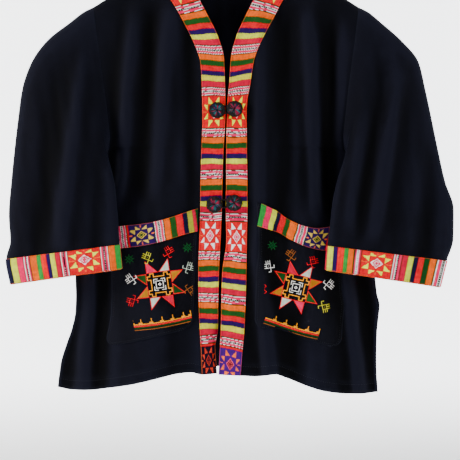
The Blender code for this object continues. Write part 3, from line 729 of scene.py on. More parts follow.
def read_stripe(length: float, kind: str) -> Stripe:
    """A stripe by one word: dotted, star, dark_star, or the name of a plain stripe's thread.

    Args:
        length: Its length along the ribbon.
        kind: The word.

    Returns:
        The stripe.
    """
    if kind == "dotted":
        return Stripe(length, Pattern.DOTTED, Thread.BLACK)
    if kind == "star":
        return Stripe(length, Pattern.STAR, Thread.RED)
    if kind == "dark_star":
        return Stripe(length, Pattern.STAR, Thread.PURPLE, Thread.STRAW, Thread.LEAF, Thread.STRAW)
    return Stripe(length, Pattern.PLAIN, Thread[kind.upper()])


def read_pairs(table: str) -> list[tuple[float, str]]:
    """The pairs of a number and a word in a table such as "17.2 dotted, 10.4 orange"."""
    return [(float(pair.split()[0]), pair.split()[1]) for pair in table.split(",")]


BAND_GROUPS = tuple(read_stripe(length, kind) for length, kind in read_pairs(
    "17.2 dotted, 10.4 orange, 9.5 green, 9.8 red, 8.9 purple, 9.5 lime, 10.1 crimson, 17.5 dotted, 10.3 orange,"
    "9.9 green, 9.3 red, 8.6 purple, 10.0 yellow, 10.7 crimson, 16.0 dotted"
))
LIME_STAR = Stripe(57.3, Pattern.STAR, Thread.RED)
WHITE_STAR = Stripe(53.6, Pattern.STAR, Thread.RED, Thread.WHITE)
PLUM_STAR = Stripe(51.3, Pattern.STAR, Thread.PLUM, Thread.RUST, Thread.PLUM, Thread.RUST)
VIOLET_STAR = Stripe(51.3, Pattern.STAR, Thread.VIOLET, Thread.SALMON, Thread.WINE, Thread.ROSE)


def band(last_star: Stripe) -> Braid:
    """A front ribbon's stripes: four repeats that each begin with a star, the topmost cut by the shoulder.

    Args:
        last_star: The star at the hem.

    Returns:
        The ribbon's stripes.
    """
    stars = (WHITE_STAR, LIME_STAR, LIME_STAR, WHITE_STAR)
    stripes = tuple(stripe for star in stars for stripe in (star, *BAND_GROUPS))
    stripes = (*stripes, Stripe(4.2, Pattern.PLAIN, Thread.RED), last_star)
    before = sum(stripe.length for stripe in stripes[: 2 + 2 * len(BAND_GROUPS)])
    return Braid(RIBBON_UNIT_START - before, stripes)


def braid_by_view(start: float, ends: str, nearer: float) -> Braid:
    """A braid whose stripes are listed by where each ends, in steps across the front view.

    Args:
        start: Where the first stripe begins.
        ends: The end and kind of each stripe.
        nearer: How much larger than life the view shows it, being in front of the jacket's middle.

    Returns:
        The braid, in millimetres of X.
    """
    stripes, here = [], start
    for end, kind in read_pairs(ends):
        stripes.append(read_stripe((end - here) * VIEW_STEP / nearer, kind))
        here = end
    return Braid(((start - VIEW_MIDDLE) / nearer + (VIEW_MIDDLE - VIEW_ZERO)) * VIEW_STEP, tuple(stripes))


POCKET_NEARER = 1.0
CUFF_NEARER = 1.013
POCKET_BRAIDS = {
    "left": braid_by_view(
        119.0,
        "128.6 dotted, 130.4 red, 155.4 dark_star, 165.6 dotted, 171.4 orange, 177.2 green, 184.0 red, 188.5 navy,"
        "193.7 olive, 196.9 crimson, 199 leaf",
        POCKET_NEARER,
    ),
    "right": braid_by_view(
        256.0,
        "263.0 mint, 269.0 pink, 274.0 lime, 278.0 navy, 283.5 red, 288.0 green, 294.4 orange, 305.0 dotted,"
        "326.0 dark_star, 329 red, 340 dotted",
        POCKET_NEARER,
    ),
}
CUFF_BRAIDS = {
    "left": braid_by_view(
        5.0,
        "12.1 navy, 18.5 lime, 25.0 pink, 32.0 dotted, 38.3 orange, 43.0 mint, 48.0 coral, 52.0 purple, 57.0 lime,"
        "62.0 crimson, 69.6 dotted, 101.4 star, 109.6 dotted, 115.9 orange, 120.4 mint, 126.0 coral",
        CUFF_NEARER,
    ),
    "right": braid_by_view(
        322.0,
        "327.2 crimson, 332.3 lime, 336.6 purple, 342.6 coral, 346.8 mint, 352.4 orange, 360.0 dotted, 390.8 star,"
        "400.1 dotted, 405.2 crimson, 410.6 lime, 415.4 navy, 421.6 red, 427.3 leaf, 433.2 orange, 448.0 dotted",
        CUFF_NEARER,
    ),
}


def from_view(across: float, down: float) -> Pair:
    """X and drop of a place that the front view shows this many 1.8 mm steps across and down."""
    return (across - VIEW_ZERO) * VIEW_STEP, VIEW_TOP + down * VIEW_STEP


FIGURE_LINES = (
    ((0, -5.2), (5.2, 0), (0, 5.2), (-5.2, 0), (0, -5.2)),
    ((5.0, 0.2), (9.0, 4.2)), ((2.5, 2.7), (6.5, 6.7)), ((0, 5.2), (3.9, 9.1)),
    ((-5.0, 0.2), (-9.0, 4.2)), ((-2.5, 2.7), (-6.5, 6.7)), ((0, 5.2), (-3.9, 9.1)),
    ((0, -5.2), (4.8, -10.2), (8.0, -7.2)), ((0, -5.2), (-4.8, -10.2), (-8.0, -7.2)),
)
CORNER_LINES = (
    ((0, -5.6), (5.6, 0), (0, 5.6), (-5.6, 0), (0, -5.6)), ((0, -1.8), (1.8, 0), (0, 1.8), (-1.8, 0), (0, -1.8)),
    ((3.6, 3.0), (6.4, 5.8)), ((-3.6, 3.0), (-6.4, 5.8)), ((3.6, -3.0), (6.4, -5.8)), ((-3.6, -3.0), (-6.4, -5.8)),
    ((0, 5.6), (0, 8.2)), ((0, -5.6), (0, -8.2)), ((5.6, 0), (8.2, 0)), ((-5.6, 0), (-8.2, 0)),
)
FRAME_LINE = (
    (0, 14.6), (9.4, 14.6), (9.4, 20.4), (15.6, 20.4), (15.6, 15.6),
    (20.4, 15.6), (20.4, 9.4), (14.6, 9.4), (14.6, 0),
)
FRET_LINES = (((3.5, 9.9), (9.9, 9.9), (9.9, 3.5)), ((0, 6.4), (6.4, 6.4), (6.4, 0)), ((0, 2.2), (2.2, 0)))


@dataclass(frozen=True)
class PocketWork:
    """The needlework on a pocket: a big star in a key frame, small figures about it and a border below."""

    star_at: Pair
    tilt: float
    petals: tuple[Thread, ...]
    figures: tuple[tuple[float, float, Thread], ...]
    corners: tuple[Pair, ...]
    border: tuple[Pair, Pair]
    spikes: Row
    cut_at: float = 0.0

    def work(self, chart: Chart, x: Array, drop: Array) -> None:
        """Works everything on the pocket.

        Args:
            chart: What is worked.
            x: X of each place.
            drop: Drop of each place.
        """
        star_x, star_drop = from_view(*self.star_at)
        a, b = turned_to(x - star_x, star_drop - drop, math.radians(self.tilt))
        self.star(chart, a, b)
        for across, down, thread in self.figures:
            at_x, at_drop = from_view(across, down)
            away = math.atan2(at_x - star_x, star_drop - at_drop)
            q, p = turned_to(x - at_x, at_drop - drop, away)
            q = np.where(x > from_view(self.cut_at, 0)[0], q, 99)
            self.lines(chart, q, p, FIGURE_LINES, thread, 0.62)
            chart.lay(np.hypot(q, p) < 0.7, thread, 0.5)
        for across, down in self.corners:
            at_x, at_drop = from_view(across, down)
            q, p = turned_to(x - at_x, at_drop - drop, math.radians(self.tilt))
            self.lines(chart, q, p, CORNER_LINES, Thread.FOREST, 0.75)
        self.edging(chart, x, drop)

    @staticmethod
    def lines(chart: Chart, x: Array, y: Array, paths: tuple, thread: Thread, half_width: float) -> None:
        """Works each path as a raised line of a half width."""
        for path in paths:
            chart.lay(distance_to(x, y, path) < half_width, thread, 0.55)

    def star(self, chart: Chart, a: Array, b: Array) -> None:
        """Eight outlined petals about a black square, the key frame in it, and a mirrored fret in the middle.

        Args:
            chart: What is worked.
            a: Distance across from the star's centre.
            b: Distance up from it.
        """
        for number, thread in enumerate(self.petals):
            q, p = turned_to(a, b, math.pi / 2 * (number // 2))
            q = q if number % 2 else -q
            depth = depth_inside(q, p, ((20.8, 44.5), (21.2, 21.4), (-0.2, 21.8)))
            chart.lay(depth > 0, Thread.RED, 0.55)
            chart.lay(depth > 1.5, thread, 0.7)
        a, b = np.abs(a), np.abs(b)
        chart.lay(np.maximum(a, b) < 21.3, Thread.BLACK, 0.0, 0.0)
        chart.lay(distance_to(a, b, FRAME_LINE) < 0.95, Thread.GOLD, 0.6)
        self.lines(chart, a, b, FRET_LINES, Thread.WHITE, 0.75)

    def edging(self, chart: Chart, x: Array, drop: Array) -> None:
        """A yellow line with stepped spikes over a red, a green and a tan line, all on one slanting axis.

        Args:
            chart: What is worked.
            x: X of each place.
            drop: Drop of each place.
        """
        (x0, drop0), (x1, drop1) = from_view(*self.border[0]), from_view(*self.border[1])
        length = math.hypot(x1 - x0, drop1 - drop0)
        along = ((x - x0) * (x1 - x0) + (drop - drop0) * (drop1 - drop0)) / length
        up = ((x - x0) * (drop1 - drop0) - (drop - drop0) * (x1 - x0)) / length
        share = np.clip(along / length, 0, 1)
        up = up + 2.2 * np.sin(math.pi * share)
        within = (along > 0) & (along < length)
        for low, high, thread in (
            (-1.0, 1.0, Thread.GOLD), (-4.4, -1.3, Thread.RED), (-7.4, -4.7, Thread.LEAF), (-10.4, -9.0, Thread.TAN),
        ):
            chart.lay(within & (up > low) & (up < high), thread, 0.55)
        for spike in self.spikes:
            past = along - (from_view(spike, 0)[0] - x0) * length / (x1 - x0)
            tall = (np.abs(past) < 0.9) & (up > 0) & (up < 9.4)
            step = (past > -4.6) & (past < 2.6) & (up > 0) & (up < 3.4)
            chart.lay(within & (tall | step), Thread.GOLD, 0.55)


POCKET_WORK = {
    "left": PocketWork(
        (160.5, 283.7), -8.0,
        (Thread.PINK, Thread.GREY, Thread.OCHRE, Thread.LEAF, Thread.CRIMSON, Thread.GREY, Thread.OCHRE, Thread.GREEN),
        ((148.2, 257.2, Thread.YELLOW), (169.2, 251.4, Thread.RED), (189.3, 267.0, Thread.GREY),
         (190.6, 289.4, Thread.TAN), (131.7, 278.7, Thread.WHITE), (133.0, 300.5, Thread.RED)),
        ((130.4, 259.0), (188.0, 247.4)),
        ((135.0, 324.4), (192.0, 314.6)),
        (134.6, 142.5, 152.9, 163.3, 173.6, 184.4, 191.4),
    ),
    "right": PocketWork(
        (295.3, 287.0), 13.0,
        (Thread.CRIMSON, Thread.GREY, Thread.OCHRE, Thread.GREEN, Thread.PINK, Thread.GREY, Thread.OCHRE, Thread.LEAF),
        ((290.2, 254.6, Thread.TAN), (312.0, 261.5, Thread.RED), (328.2, 284.2, Thread.WHITE),
         (323.5, 306.4, Thread.YELLOW), (267.6, 265.7, Thread.WHITE), (259.8, 288.4, Thread.RED)),
        ((271.7, 245.3),),
        ((264.8, 316.6), (318.2, 333.0)),
        (274.4, 285.1, 295.8, 306.9, 317.6),
        263.5,
    ),
}


def back_panel(across: Array, down: Array) -> Array:
    """Points of the back panel's middle surface.

    The two halves share the shoulder line, the armholes and the side seams of the fronts, and between the
    shoulders the top edge dips in a parabola.

    Args:
        across: Shares from the left side, 0, to the right side, 1.
        down: Shares from the top, 0, to the hem, 1.

    Returns:
        A point for each pair of shares.
    """
    extra = (math.pi / 2 - 1) * SHOULDER_ROUND
    edges = []
    for half in (LEFT, RIGHT):
        low = half.outer.at[-1] - ARMHOLE_TOP[1]
        drop = ARMHOLE_TOP[1] + round_over(down * (low + extra), SHOULDER_ROUND)[0]
        edges.append(half.outer_edge(drop)[0])
    width = edges[1] - edges[0]
    from_side = LEFT.side_lengths(width / 2, 1 - np.abs(1 - 2 * across), down)
    x = np.where(across < 0.5, edges[0] + from_side, edges[1] - from_side)
    top_x = ARMHOLE_TOP[0] * (2 * across - 1)
    dip = np.clip(1 - (np.abs(top_x) / NECK_HALF) ** 2, 0, 1)
    top = np.where(np.abs(top_x) < NECK_HALF, shoulder_drop(NECK_HALF) + BACK_NECK_DIP * dip, shoulder_drop(top_x))
    low_x = BACK_HEM.at[0] + (BACK_HEM.at[-1] - BACK_HEM.at[0]) * across
    start = unrolled(top - shoulder_drop(top_x), SHOULDER_ROUND)
    length = BACK_HEM(low_x) - shoulder_drop(top_x)
    length_down = start + down * (length + extra - start)
    drop = np.maximum(shoulder_drop(top_x) + round_over(length_down, SHOULDER_ROUND)[0], shoulder_drop(x))
    left, right = (half.depth(x, drop, length_down, BACK_FOLDS, 29) for half in (LEFT, RIGHT))
    return np.stack([x, np.where(x < 0, left, right), -drop], axis=-1)


def piece_from_grid(
    name: str,
    points: Array,
    flat: Arrays,
    chart: Chart | None = None,
    wear: Array | None = None,
    thickness: float = 0.0,
    closed: bool = False,
    ring: bool = False,
    ridge: Array | None = None,
    keep: Array | None = None,
) -> bpy.types.Object:
    """Makes a piece of quads between neighbouring points, with its cloth map and its thread colours.

    Args:
        name: The piece's name.
        points: Rows by columns by three, in millimetres.
        flat: Distances across and along the cloth, for the map.
        chart: Colours and stitching, if it is worked.
        wear: How worn each place is, 0 to 1.
        thickness: Thickness of the shell, or 0 for a solid shape.
        closed: Whether the last column meets the first.
        ring: Whether the last row meets the first as well.
        ridge: How far each place stands out of the drape, 0 to 1, which the cotton paints as light and shade.
        keep: Which points matter: a face without any of them is left out.

    Returns:
        The new object, linked and riding on the body.
    """
    rows, columns = points.shape[:2]
    index = np.arange(rows * columns).reshape(rows, columns)
    below = np.roll(index, -1, 0)
    if not ring:
        index, below = index[:-1], below[:-1]
    after = np.roll(index, -1, 1), np.roll(below, -1, 1)
    if not closed:
        index, below, after = index[:, :-1], below[:, :-1], (after[0][:, :-1], after[1][:, :-1])
    faces = np.stack([index, below, after[1], after[0]], -1).reshape(-1, 4)
    used, joined = np.arange(rows * columns), faces
    if keep is not None:
        faces = faces[keep.reshape(-1)[faces].any(axis=1)]
        used, joined = np.unique(faces, return_inverse=True)
        joined = joined.reshape(faces.shape)
    mesh = bpy.data.meshes.new(name)
    mesh.vertices.add(len(used))
    mesh.vertices.foreach_set("co", (points.reshape(-1, 3)[used].reshape(-1) * MM).astype(np.float32))
    mesh.loops.add(faces.size)
    mesh.loops.foreach_set("vertex_index", joined.reshape(-1).astype(np.int32))
    mesh.polygons.add(len(faces))
    mesh.polygons.foreach_set("loop_start", np.arange(0, faces.size, 4, dtype=np.int32))
    mesh.update(calc_edges=True)
    mesh.shade_smooth()
    across, along = (np.broadcast_to(part, (rows, columns)).reshape(-1) for part in flat)
    pairs = np.stack([across, along], -1)[faces.reshape(-1)] * MM
    if closed:
        wrap = pairs.reshape(-1, 4, 2)
        span = across.max() * MM * columns / (columns - 1)
        wrap[:, 2:, 0] += np.where(wrap[:, 2:, 0] < wrap[:, :1, 0] - span / 2, span, 0)
    mesh.uv_layers.new(name="cloth").data.foreach_set("uv", pairs.reshape(-1).astype(np.float32))
    if chart is not None:
        rgba = np.concatenate([chart.colour, np.ones((*chart.shape, 1))], -1).reshape(-1, 4)[used]
        colour = mesh.attributes.new("thread_colour", "FLOAT_COLOR", "POINT")
        colour.data.foreach_set("color", rgba.reshape(-1).astype(np.float32))
        stitched = mesh.attributes.new("stitched", "FLOAT", "POINT")
        stitched.data.foreach_set("value", chart.stitched.reshape(-1)[used].astype(np.float32))
    for label, values in (("wear", wear), ("ridge", ridge)):
        if values is not None:
            layer = mesh.attributes.new(label, "FLOAT", "POINT")
            whole = np.broadcast_to(values, (rows, columns)).reshape(-1)[used]
            layer.data.foreach_set("value", whole.astype(np.float32))
    piece = bpy.data.objects.new(name, mesh)
    bpy.context.scene.collection.objects.link(piece)
    if thickness:
        wall = piece.modifiers.new("Wall", "SOLIDIFY")
        wall.thickness = thickness * MM
        wall.offset = 0
    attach(piece, "root")
    LOG.info("%s: %d points", name, rows * columns)
    return piece


def along_rows(points: Array) -> Array:
    """Distance down the middle column of a grid of points, as one value for each row."""
    middle = points[:, points.shape[1] // 2]
    return np.concatenate([[0], np.cumsum(np.linalg.norm(np.diff(middle, axis=0), axis=-1))])[:, None]


def across_columns(points: Array) -> Array:
    """Distance along the middle row of a grid of points, as one value for each column."""
    middle = points[points.shape[0] // 2]
    return np.concatenate([[0], np.cumsum(np.linalg.norm(np.diff(middle, axis=0), axis=-1))])[None, :]


class Nodes:
    """A short hand for building a node tree."""

    def __init__(self, tree: bpy.types.NodeTree) -> None:
        """Keeps the tree that the nodes go into."""
        self.tree = tree

    def feed(self, node: bpy.types.Node, inputs: dict[str | int, object]) -> None:
        """Links or sets some of a node's inputs.

        Args:
            node: The node.
            inputs: An output socket to link, or a value to set, for each input.
        """
        for key, value in inputs.items():
            if isinstance(value, Socket):
                self.tree.links.new(value, node.inputs[key])
            else:
                node.inputs[key].default_value = value

    def add(self, kind: str, inputs: dict[str | int, object] | None = None, **values: object) -> bpy.types.Node:
        """Adds a node, sets its own values, and feeds its inputs.

        Args:
            kind: The node's type.
            inputs: An output socket or a value for each input that is fed.
            values: The node's own settings.

        Returns:
            The node.
        """
        node = self.tree.nodes.new(kind)
        for key, value in values.items():
            setattr(node, key, value)
        self.feed(node, inputs or {})
        return node

    def math(self, operation: str, first: object, second: object = 0.0, third: object = 0.0) -> Socket:
        """One sum on two or three values."""
        return self.add("ShaderNodeMath", {0: first, 1: second, 2: third}, operation=operation).outputs[0]

    def mix(self, factor: object, first: object, second: object) -> Socket:
        """A colour between two."""
        return self.add("ShaderNodeMix", {0: factor, 6: first, 7: second}, data_type="RGBA").outputs[2]

    def between(self, factor: object, first: object, second: object) -> Socket:
        """A value between two."""
        return self.add("ShaderNodeMix", {0: factor, 2: first, 3: second}).outputs[0]

    def noise(self, place: Socket, scale: float, detail: float, flat: bool = False, **more: float) -> Socket:
        """Cloudy noise of 0 to 1 over a place, in space or on a flat map; more sets its other inputs."""
        inputs = {"Vector": place, "Scale": scale, "Detail": detail, **more}
        return self.add("ShaderNodeTexNoise", inputs, noise_dimensions="2D" if flat else "3D").outputs["Fac"]

    def attribute(self, name: str, output: str = "Fac") -> Socket:
        """One of the piece's own attributes."""
        return self.add("ShaderNodeAttribute", attribute_name=name).outputs[output]

    def cloth_map(self) -> Socket:
        """The piece's cloth map, in metres across and along."""
        return self.add("ShaderNodeUVMap", uv_map="cloth").outputs[0]

    def place(self) -> Socket:
        """The place on the piece, in metres."""
        return self.add("ShaderNodeTexCoord").outputs["Object"]


def new_group(name: str, inputs: dict[str, str], outputs: dict[str, str]) -> tuple[bpy.types.NodeTree, Nodes]:
    """Starts a shader node group with typed sockets.

    Args:
        name: The group's name.
        inputs: Socket type of each input.
        outputs: Socket type of each output.

    Returns:
        The group and a builder for it.
    """
    group = bpy.data.node_groups.new(name, "ShaderNodeTree")
    for direction, sockets in (("INPUT", inputs), ("OUTPUT", outputs)):
        for label, kind in sockets.items():
            group.interface.new_socket(label, in_out=direction, socket_type=f"NodeSocket{kind}")
    return group, Nodes(group)


YARN_INPUTS = {"Map": "Vector", "Pitch": "Float", "Unevenness": "Float"}
YARN_OUTPUTS = {"Height": "Float", "Shade": "Float"}


def plain_weave() -> bpy.types.NodeTree:
    """The weave of a cloth from its map: warp and weft that cross over and under, with slubs.

    Height is half of one plus the product of two sines at the yarns' pitch. The shade is painted shade that follows
    it, darker where the yarns dip and lighter on their tops, plus the slubs' own tone.

    Returns:
        The group.
    """
    group, make = new_group("plain_weave", YARN_INPUTS, YARN_OUTPUTS)
    entry = make.add("NodeGroupInput").outputs
    parts = make.add("ShaderNodeSeparateXYZ", {0: entry["Map"]}).outputs
    slub = make.noise(entry["Map"], 260.0, 2.0, flat=True)
    bend = make.math("MULTIPLY", make.math("SUBTRACT", slub, 0.5), entry["Unevenness"])
    turns = make.math("DIVIDE", math.pi, entry["Pitch"])
    warp = make.math("SINE", make.math("ADD", make.math("MULTIPLY", parts[0], turns), bend))
    weft = make.math("SINE", make.math("ADD", make.math("MULTIPLY", parts[1], turns), bend))
    height = make.math("MULTIPLY_ADD", make.math("MULTIPLY", warp, weft), 0.5, 0.5)
    # Painted shade: the colour follows the yarns' height.
    shade = make.math("MULTIPLY_ADD", slub, 0.5, make.math("MULTIPLY_ADD", height, 0.3, 0.6))
    make.add("NodeGroupOutput", {"Height": height, "Shade": shade})
    return group


def satin_thread() -> bpy.types.NodeTree:
    """Rows of thread from a cloth map: fine ribs along one way, broken by noise into single stitches.

    Height is a sine at the ribs' pitch with a fainter one, five times as long, across them. The shade is painted shade
    that follows it, darker between the ribs, plus a broad tone of the thread.

    Returns:
        The group.
    """
    group, make = new_group("satin_thread", YARN_INPUTS, YARN_OUTPUTS)
    entry = make.add("NodeGroupInput").outputs
    parts = make.add("ShaderNodeSeparateXYZ", {0: entry["Map"]}).outputs
    fine = make.noise(entry["Map"], 900.0, 2.0, flat=True)
    broad = make.noise(entry["Map"], 120.0, 1.0, flat=True)
    bend = make.math("MULTIPLY", make.math("SUBTRACT", fine, 0.5), entry["Unevenness"])
    turns = make.math("DIVIDE", math.tau, entry["Pitch"])
    rib = make.math("SINE", make.math("ADD", make.math("MULTIPLY", parts[1], turns), bend))
    cross = make.math("SINE", make.math("MULTIPLY", parts[0], make.math("DIVIDE", turns, 5.0)))
    height = make.math("MULTIPLY_ADD", rib, 0.35, make.math("MULTIPLY_ADD", cross, 0.1, 0.5))
    # Painted shade: the colour follows the ribs' height.
    shade = make.math("MULTIPLY_ADD", broad, 0.5, make.math("MULTIPLY_ADD", height, 0.32, 0.6))
    make.add("NodeGroupOutput", {"Height": height, "Shade": shade})
    return group


def edge_fade() -> bpy.types.NodeTree:
    """A mask of worn places: the piece's wear, roughened by noise."""
    group, make = new_group("edge_fade", {"Wear": "Float", "Place": "Vector"}, {"Mask": "Float"})
    entry = make.add("NodeGroupInput").outputs
    noise = make.noise(entry["Place"], 90.0, 4.0)
    mask = make.math("MULTIPLY", entry["Wear"], make.math("MULTIPLY_ADD", noise, 1.6, -0.3))
    make.add("NodeGroupOutput", {"Mask": make.add("ShaderNodeClamp", {0: mask}).outputs[0]})
    return group


class Effects:
    """The node groups that the finishes share, built once."""

    def __init__(self) -> None:
        """Builds each group."""
        self.weave, self.thread, self.fade = plain_weave(), satin_thread(), edge_fade()


def start_finish(name: str) -> tuple[bpy.types.Material, Nodes, bpy.types.Node]:
    """A new material with only its shader and output.

    Args:
        name: The material's name.

    Returns:
        The material, a builder for its nodes, and its shader.
    """
    made = bpy.data.materials.new(name)
    made.use_nodes = True
    return made, Nodes(made.node_tree), made.node_tree.nodes["Principled BSDF"]


@dataclass(frozen=True)
class CottonFinish:
    """Hand-woven indigo cotton: dark, soft, with a slight sheen, faded a little along its edges, and with painted
    light and shade on its drape: ridges painted lighter, troughs near black.
    """

    name: str
    dark: Triple
    light: Triple
    pitch: float = 0.00062
    sheen: float = 0.03
    faded: tuple[float, float, float, float] = (0.018, 0.02, 0.034, 1)

    def make(self, effects: Effects) -> bpy.types.Material:
        """Builds the material.

        Args:
            effects: The shared node groups.

        Returns:
            The material.
        """
        made, make, shader = start_finish(self.name)
        place = make.place()
        yarn = {"Map": make.cloth_map(), "Pitch": self.pitch, "Unevenness": 2.4}
        weave = make.add("ShaderNodeGroup", yarn, node_tree=effects.weave).outputs
        cloud = make.noise(place, 7.0, 5.0, Roughness=0.6)
        worn = {"Wear": make.attribute("wear"), "Place": place}
        fade = make.add("ShaderNodeGroup", worn, node_tree=effects.fade).outputs
        # Painted light and shade: the colour is lifted many times over on the drape's ridges and left near black in
        # its troughs.
        raised = make.math("MULTIPLY_ADD", make.math("POWER", make.attribute("ridge"), 2.0), 3.4, 0.05)
        share = make.math("MULTIPLY", make.math("MULTIPLY", cloud, weave["Shade"]), raised)
        base = make.mix(share, (*self.dark, 1), (*self.light, 1))
        crumple = make.noise(place, 55.0, 4.0)
        first = make.add("ShaderNodeBump", {"Height": crumple, "Strength": 0.35, "Distance": 0.0016}).outputs[0]
        fine = {"Height": weave["Height"], "Normal": first, "Strength": 0.5, "Distance": 0.0002}
        make.feed(shader, {
            "Base Color": make.mix(make.math("MULTIPLY", fade["Mask"], 0.55), base, self.faded),
            "Roughness": make.math("MULTIPLY_ADD", cloud, 0.2, 0.62),
            "Sheen Weight": self.sheen,
            "Sheen Roughness": 0.3,
            "Sheen Tint": (0.45, 0.52, 0.9, 1),
            "Specular IOR Level": 0.04,
            "Normal": make.add("ShaderNodeBump", fine).outputs[0],
        })
        return made


@dataclass(frozen=True)
class NeedleworkFinish:
    """Cloth worked all over or in places: thread colours from the piece, ribs where it is stitched."""

    name: str
    rib: float = 0.0011
    weave: float = 0.00065

    def make(self, effects: Effects) -> bpy.types.Material:
        """Builds the material.

        Args:
            effects: The shared node groups.

        Returns:
            The material.
        """
        made, make, shader = start_finish(self.name)
        cloth = make.cloth_map()
        stitched = make.attribute("stitched")
        bare, ribbed = (
            make.add("ShaderNodeGroup", {"Map": cloth, "Pitch": pitch, "Unevenness": 3.0}, node_tree=tree).outputs
            for tree, pitch in ((effects.weave, self.weave), (effects.thread, self.rib))
        )
        shade = make.between(stitched, bare["Shade"], ribbed["Shade"])
        height = make.between(stitched, bare["Height"], ribbed["Height"])
        # The value carries the yarns' painted shade.
        value = make.math("MULTIPLY", shade, make.math("MULTIPLY_ADD", make.noise(cloth, 38.0, 4.0), 0.5, 0.85))
        dyed = {"Color": make.attribute("thread_colour", "Color"), "Value": value}
        bump = {"Height": height, "Strength": 0.55, "Distance": 0.0003}
        make.feed(shader, {
            "Base Color": make.add("ShaderNodeHueSaturation", dyed).outputs[0],
            "Roughness": make.math("MULTIPLY_ADD", height, -0.18, 0.78),
            "Sheen Weight": 0.02,
            "Sheen Roughness": 0.4,
            "Specular IOR Level": 0.1,
            "Normal": make.add("ShaderNodeBump", bump).outputs[0],
        })
        return made


@dataclass(frozen=True)
class CordFinish:
    """Twisted thread: a spiral rib on the piece's own map, over one dye or, with none, the piece's colours."""

    name: str
    dye: Triple | None = None

    def make(self, effects: Effects) -> bpy.types.Material:
        """Builds the material.

        Args:
            effects: The shared node groups.

        Returns:
            The material.
        """
        made, make, shader = start_finish(self.name)
        yarn = {"Map": make.cloth_map(), "Pitch": 0.0007, "Unevenness": 2.0}
        thread = make.add("ShaderNodeGroup", yarn, node_tree=effects.thread).outputs
        colour = (*self.dye, 1) if self.dye else make.attribute("thread_colour", "Color")
        # The value carries the ribs' painted shade.
        dyed = {"Color": colour, "Value": thread["Shade"]}
        bump = {"Height": thread["Height"], "Strength": 0.5, "Distance": 0.0003}
        make.feed(shader, {
            "Base Color": make.add("ShaderNodeHueSaturation", dyed).outputs[0],
            "Roughness": make.math("MULTIPLY_ADD", thread["Height"], -0.2, 0.6),
            "Specular IOR Level": 0.2,
            "Normal": make.add("ShaderNodeBump", bump).outputs[0],
        })
        return made


@dataclass(frozen=True)
class WoodFinish:
    """Varnished beech: long grain lines stretched along the bar, with fine pores."""

    name: str = "varnished_beech"
    stretch: Triple = (6.0, 90.0, 90.0)
    stops: Pair = (0.35, 0.68)
    tones: tuple[Row, Row] = ((0.24, 0.125, 0.055, 1), (0.47, 0.29, 0.15, 1))

    def make(self, effects: Effects) -> bpy.types.Material:
        """Builds the material.

        Args:
            effects: The shared node groups, of which it needs none.

        Returns:
            The material.
        """
        made, make, shader = start_finish(self.name)
        long_way = make.add("ShaderNodeMapping", {"Vector": make.place(), "Scale": self.stretch}).outputs[0]
        grain = make.noise(long_way, 1.0, 6.0, Distortion=0.6)
        ramp = make.add("ShaderNodeValToRGB", {0: grain})
        for element, stop, tone in zip(ramp.color_ramp.elements, self.stops, self.tones):
            element.position, element.color = stop, tone
        bump = {"Height": grain, "Strength": 0.25, "Distance": 0.0005}
        make.feed(shader, {
            "Base Color": ramp.outputs[0],
            "Roughness": make.math("MULTIPLY_ADD", grain, 0.2, 0.32),
            "Coat Weight": 0.35,
            "Normal": make.add("ShaderNodeBump", bump).outputs[0],
        })
        return made


@dataclass(frozen=True)
class WireFinish:
    """Bright drawn wire: smooth metal with faint streaks and duller spots."""

    name: str = "drawn_wire"

    def make(self, effects: Effects) -> bpy.types.Material:
        """Builds the material.

        Args:
            effects: The shared node groups, of which it needs none.

        Returns:
            The material.
        """
        made, make, shader = start_finish(self.name)
        spots = make.noise(make.place(), 160.0, 4.0)
        make.feed(shader, {
            "Base Color": make.mix(spots, (0.5, 0.5, 0.52, 1), (0.68, 0.68, 0.7, 1)),
            "Roughness": make.math("MULTIPLY_ADD", spots, 0.3, 0.12),
            "Metallic": 1.0,
        })
        return made


class Look(Enum):
    """Every finish on the object."""

    COTTON = CottonFinish("indigo_cotton", (0.0008, 0.0008, 0.0011), (0.0066, 0.0070, 0.0140))
    POCKET_GROUND = CottonFinish("pocket_cotton", (0.0008, 0.0008, 0.0010), (0.0056, 0.0058, 0.0104))
    POCKET = NeedleworkFinish("pocket_needlework")
    RIBBON = NeedleworkFinish("ribbon_needlework")
    ROSETTE = CordFinish("rosette_thread")
    CORD = CordFinish("black_cord", (0.006, 0.006, 0.009))
    SEWING = CordFinish("sewing_thread", (0.02, 0.021, 0.03))
    WOOD = WoodFinish()
    WIRE = WireFinish()


class Dresser:
    """Builds each finish once and puts it on pieces."""

    def __init__(self) -> None:
        """Builds the shared effects and then every finish."""
        effects = Effects()
        self.made = {look: look.value.make(effects) for look in Look}

    def dress(self, piece: bpy.types.Object, look: Look) -> None:
        """Gives a piece a finish.

        Args:
            piece: What is dressed.
            look: Its finish.
        """
        piece.data.materials.clear()
        piece.data.materials.append(self.made[look])


def close_up(piece: bpy.types.Object) -> None:
    """Merges a solid piece's poles and seams and turns its faces outwards.

    Args:
        piece: A closed piece whose ends and seams still have double points.
    """
    shape = bmesh.new()
    shape.from_mesh(piece.data)
    bmesh.ops.remove_doubles(shape, verts=shape.verts, dist=1e-6)
    bmesh.ops.recalc_face_normals(shape, faces=shape.faces)
    shape.to_mesh(piece.data)
    shape.free()
    piece.data.shade_smooth()


